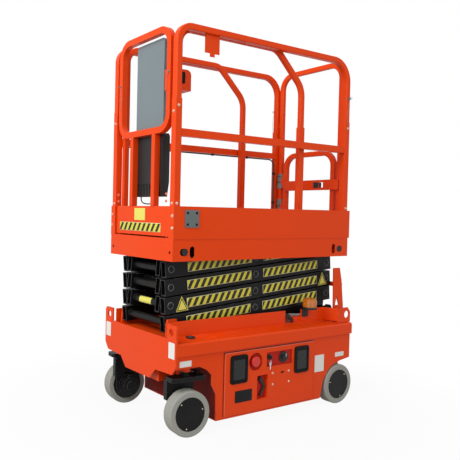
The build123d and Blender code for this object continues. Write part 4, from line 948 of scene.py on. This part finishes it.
def lock_pins():
    """Locking pins with wire lanyards on the rear posts of the main rails and on the ring."""
    fixed = bmesh.new()
    low, high = corners_of("main_rail_left")
    for side in (1, -1):
        out = Vector((0, side, 0))
        spot = Vector((low.x + 0.017, side * high.y, PIN_Z[0]))
        add_rod(fixed, spot - out * 0.002, spot + out * 0.006, 0.0090)
        add_rod(fixed, spot + out * 0.005, spot + out * 0.016, 0.0045)
        add_ring(fixed, spot + out * 0.018, (1, 0, 0), 0.009, 0.0012, 20, 6)
        add_wire(fixed, spot + out * 0.010, [(run, 0, drop) for run, drop in RAIL_LANYARD])
    new_piece("main_lock_pins", fixed, "platform", "steel", pin_steel)
    moving = bmesh.new()
    ring = corners_of("extension_end_frame")[1]
    out = Vector((1, 0, 0))
    for side in (1, -1):
        spot = Vector((ring.x - 0.004, side * (ring.y - 0.014), PIN_Z[1]))
        add_rod(moving, spot - out * 0.002, spot + out * 0.006, 0.0075)
        add_rod(moving, spot + out * 0.005, spot + out * 0.012, 0.0040)
        add_wire(moving, spot + out * 0.008, [(0, -side * run, drop) for run, drop in RING_LANYARD])
    new_piece("ring_lock_pins", moving, "extension", "steel", pin_steel)


def hinge_bolts():
    """Bolts in the leaves of the gate hinges."""
    low, high = corners_of("gate_hinges")
    bolts = bmesh.new()
    for z in (low.z + 0.018, low.z + 0.060, high.z - 0.018, high.z - 0.060):
        for y in (low.y + 0.010, low.y + 0.034):
            add_bolt(bolts, (high.x, y, z), (1, 0, 0), 0.0036)
    new_piece("hinge_bolts", bolts, "platform", "steel", panel_plastic)


def control_side():
    """The dark side of the control box, laid on its guard."""
    side = corners_of("control_guard")[1].y
    (x0, z0), (x1, z1) = CONTROL_SIDE
    plate = bmesh.new()
    add_round_plate(plate, (x0, side, z0), (x1, side + LABEL, z1), 1, 0.010)
    new_piece("control_side", plate, "extension", "black_plastic", panel_plastic)


def hole_liners():
    """Black plugs in the round holes of the platform's sides."""
    plugs = bmesh.new()
    for side in (1, -1):
        out = Vector((0, side, 0))
        for x in HOLES_X:
            place = Vector((x, side * HOLE_FACE, HOLE_Z))
            add_ring(plugs, place + out * 0.0008, out, 0.0185, 0.0018, 28, 8)
            add_rod(plugs, place - out * 0.006, place + out * 0.0006, 0.0175)
    new_piece("hole_plugs", plugs, "platform", "black_plastic", black_plastic)


# ---------------- stage
def lay_floor():
    """A plain white floor that keeps the shadow near the machine and fades to pure white further out."""
    bm = bmesh.new()
    bmesh.ops.create_grid(bm, x_segments=1, y_segments=1, size=60)
    mesh = bpy.data.meshes.new("floor")
    bm.to_mesh(mesh)
    bm.free()
    floor = bpy.data.objects.new("floor", mesh)
    bpy.context.scene.collection.objects.link(floor)
    material, tree, shader = new_material("white_floor")
    shader.inputs["Base Color"].default_value = (0.56, 0.56, 0.56, 1)
    shader.inputs["Roughness"].default_value = 0.9
    shader.inputs["Specular IOR Level"].default_value = 0.1
    place = add_node(tree, "TexCoord", (-900, -200))
    reach = add_node(tree, "VectorMath", (-700, -200), operation="LENGTH")
    fade = add_node(tree, "MapRange", (-500, -200), interpolation_type="SMOOTHSTEP",
                    sockets=(("From Min", 0.8), ("From Max", 2.0), ("To Min", 0.935), ("To Max", 1.0)))
    share = add_node(tree, "Math", (-100, -300), operation="MULTIPLY")
    glow = add_node(tree, "Emission", (-100, -100), sockets=(("Color", WHITE), ("Strength", 1.0)))
    mixed = add_node(tree, "MixShader", (300, 0))
    join(tree, place, "Object", reach, 0)
    join(tree, reach, "Value", fade, "Value")
    join(tree, fade, "Result", share, 0)
    join(tree, seen_by_camera(tree), "Value", share, 1)
    join(tree, share, "Value", mixed, 0)
    tree.links.new(shader.outputs[0], mixed.inputs[1])
    tree.links.new(glow.outputs[0], mixed.inputs[2])
    tree.links.new(mixed.outputs[0], tree.nodes["Material Output"].inputs["Surface"])
    floor.data.materials.append(material)


def seen_by_camera(tree):
    """A node whose value is 1 for rays that the camera sees, straight, mirrored or through glass."""
    rays = add_node(tree, "LightPath", (-900, -500))
    seen = add_node(tree, "Math", (-700, -500), operation="ADD", use_clamp=True)
    through = add_node(tree, "Math", (-500, -500), operation="ADD", use_clamp=True)
    join(tree, rays, "Is Camera Ray", seen, 0)
    join(tree, rays, "Is Glossy Ray", seen, 1)
    join(tree, seen, "Value", through, 0)
    join(tree, rays, "Is Transmission Ray", through, 1)
    return through


def hang_lamp(name, place, aim, size, power):
    """A soft square lamp turned towards a point."""
    data = bpy.data.lights.new(name, "AREA")
    data.shape = "SQUARE"
    data.size = size
    data.energy = power
    lamp = bpy.data.objects.new(name, data)
    lamp.location = place
    lamp.rotation_euler = (Vector(aim) - Vector(place)).to_track_quat("-Z", "Y").to_euler()
    bpy.context.scene.collection.objects.link(lamp)


def light_stage():
    """Two soft lamps and an even sky, white where the camera looks past the floor."""
    middle = (0, 0, 1.1)
    hang_lamp("key_lamp", (5.0, 1.0, 4.2), middle, 3.2, 268)
    hang_lamp("side_lamp", (0.5, 5.5, 3.6), middle, 3.2, 82)
    world = bpy.data.worlds.new("even_sky")
    world.use_nodes = True
    bpy.context.scene.world = world
    tree = world.node_tree
    sky = tree.nodes["Background"]
    sky.inputs["Color"].default_value = WHITE
    strength = add_node(tree, "MapRange", (-200, 0), sockets=(("To Min", 0.50), ("To Max", 1.0)))
    join(tree, seen_by_camera(tree), "Value", strength, "Value")
    join(tree, strength, "Result", sky, "Strength")
    bpy.context.scene.view_settings.view_transform = "Standard"


for dress_part in (
        arm_tapes, arm_pin_caps, arm_triangles, cross_tube_label, door_panels, left_door_trim, key_and_knob,
        door_gap_shadows, arch_painted_shade, control_side, lock_pins, hinge_bolts, recess_painted_shade, chassis_labels,
        shelf_trim, beacon_trim, wheel_trim, toe_panel_trim, side_plate_bolts, rail_bolts, hole_liners):
    dress_part()
place_camera()
lay_floor()
light_stage()
dress_nodes()
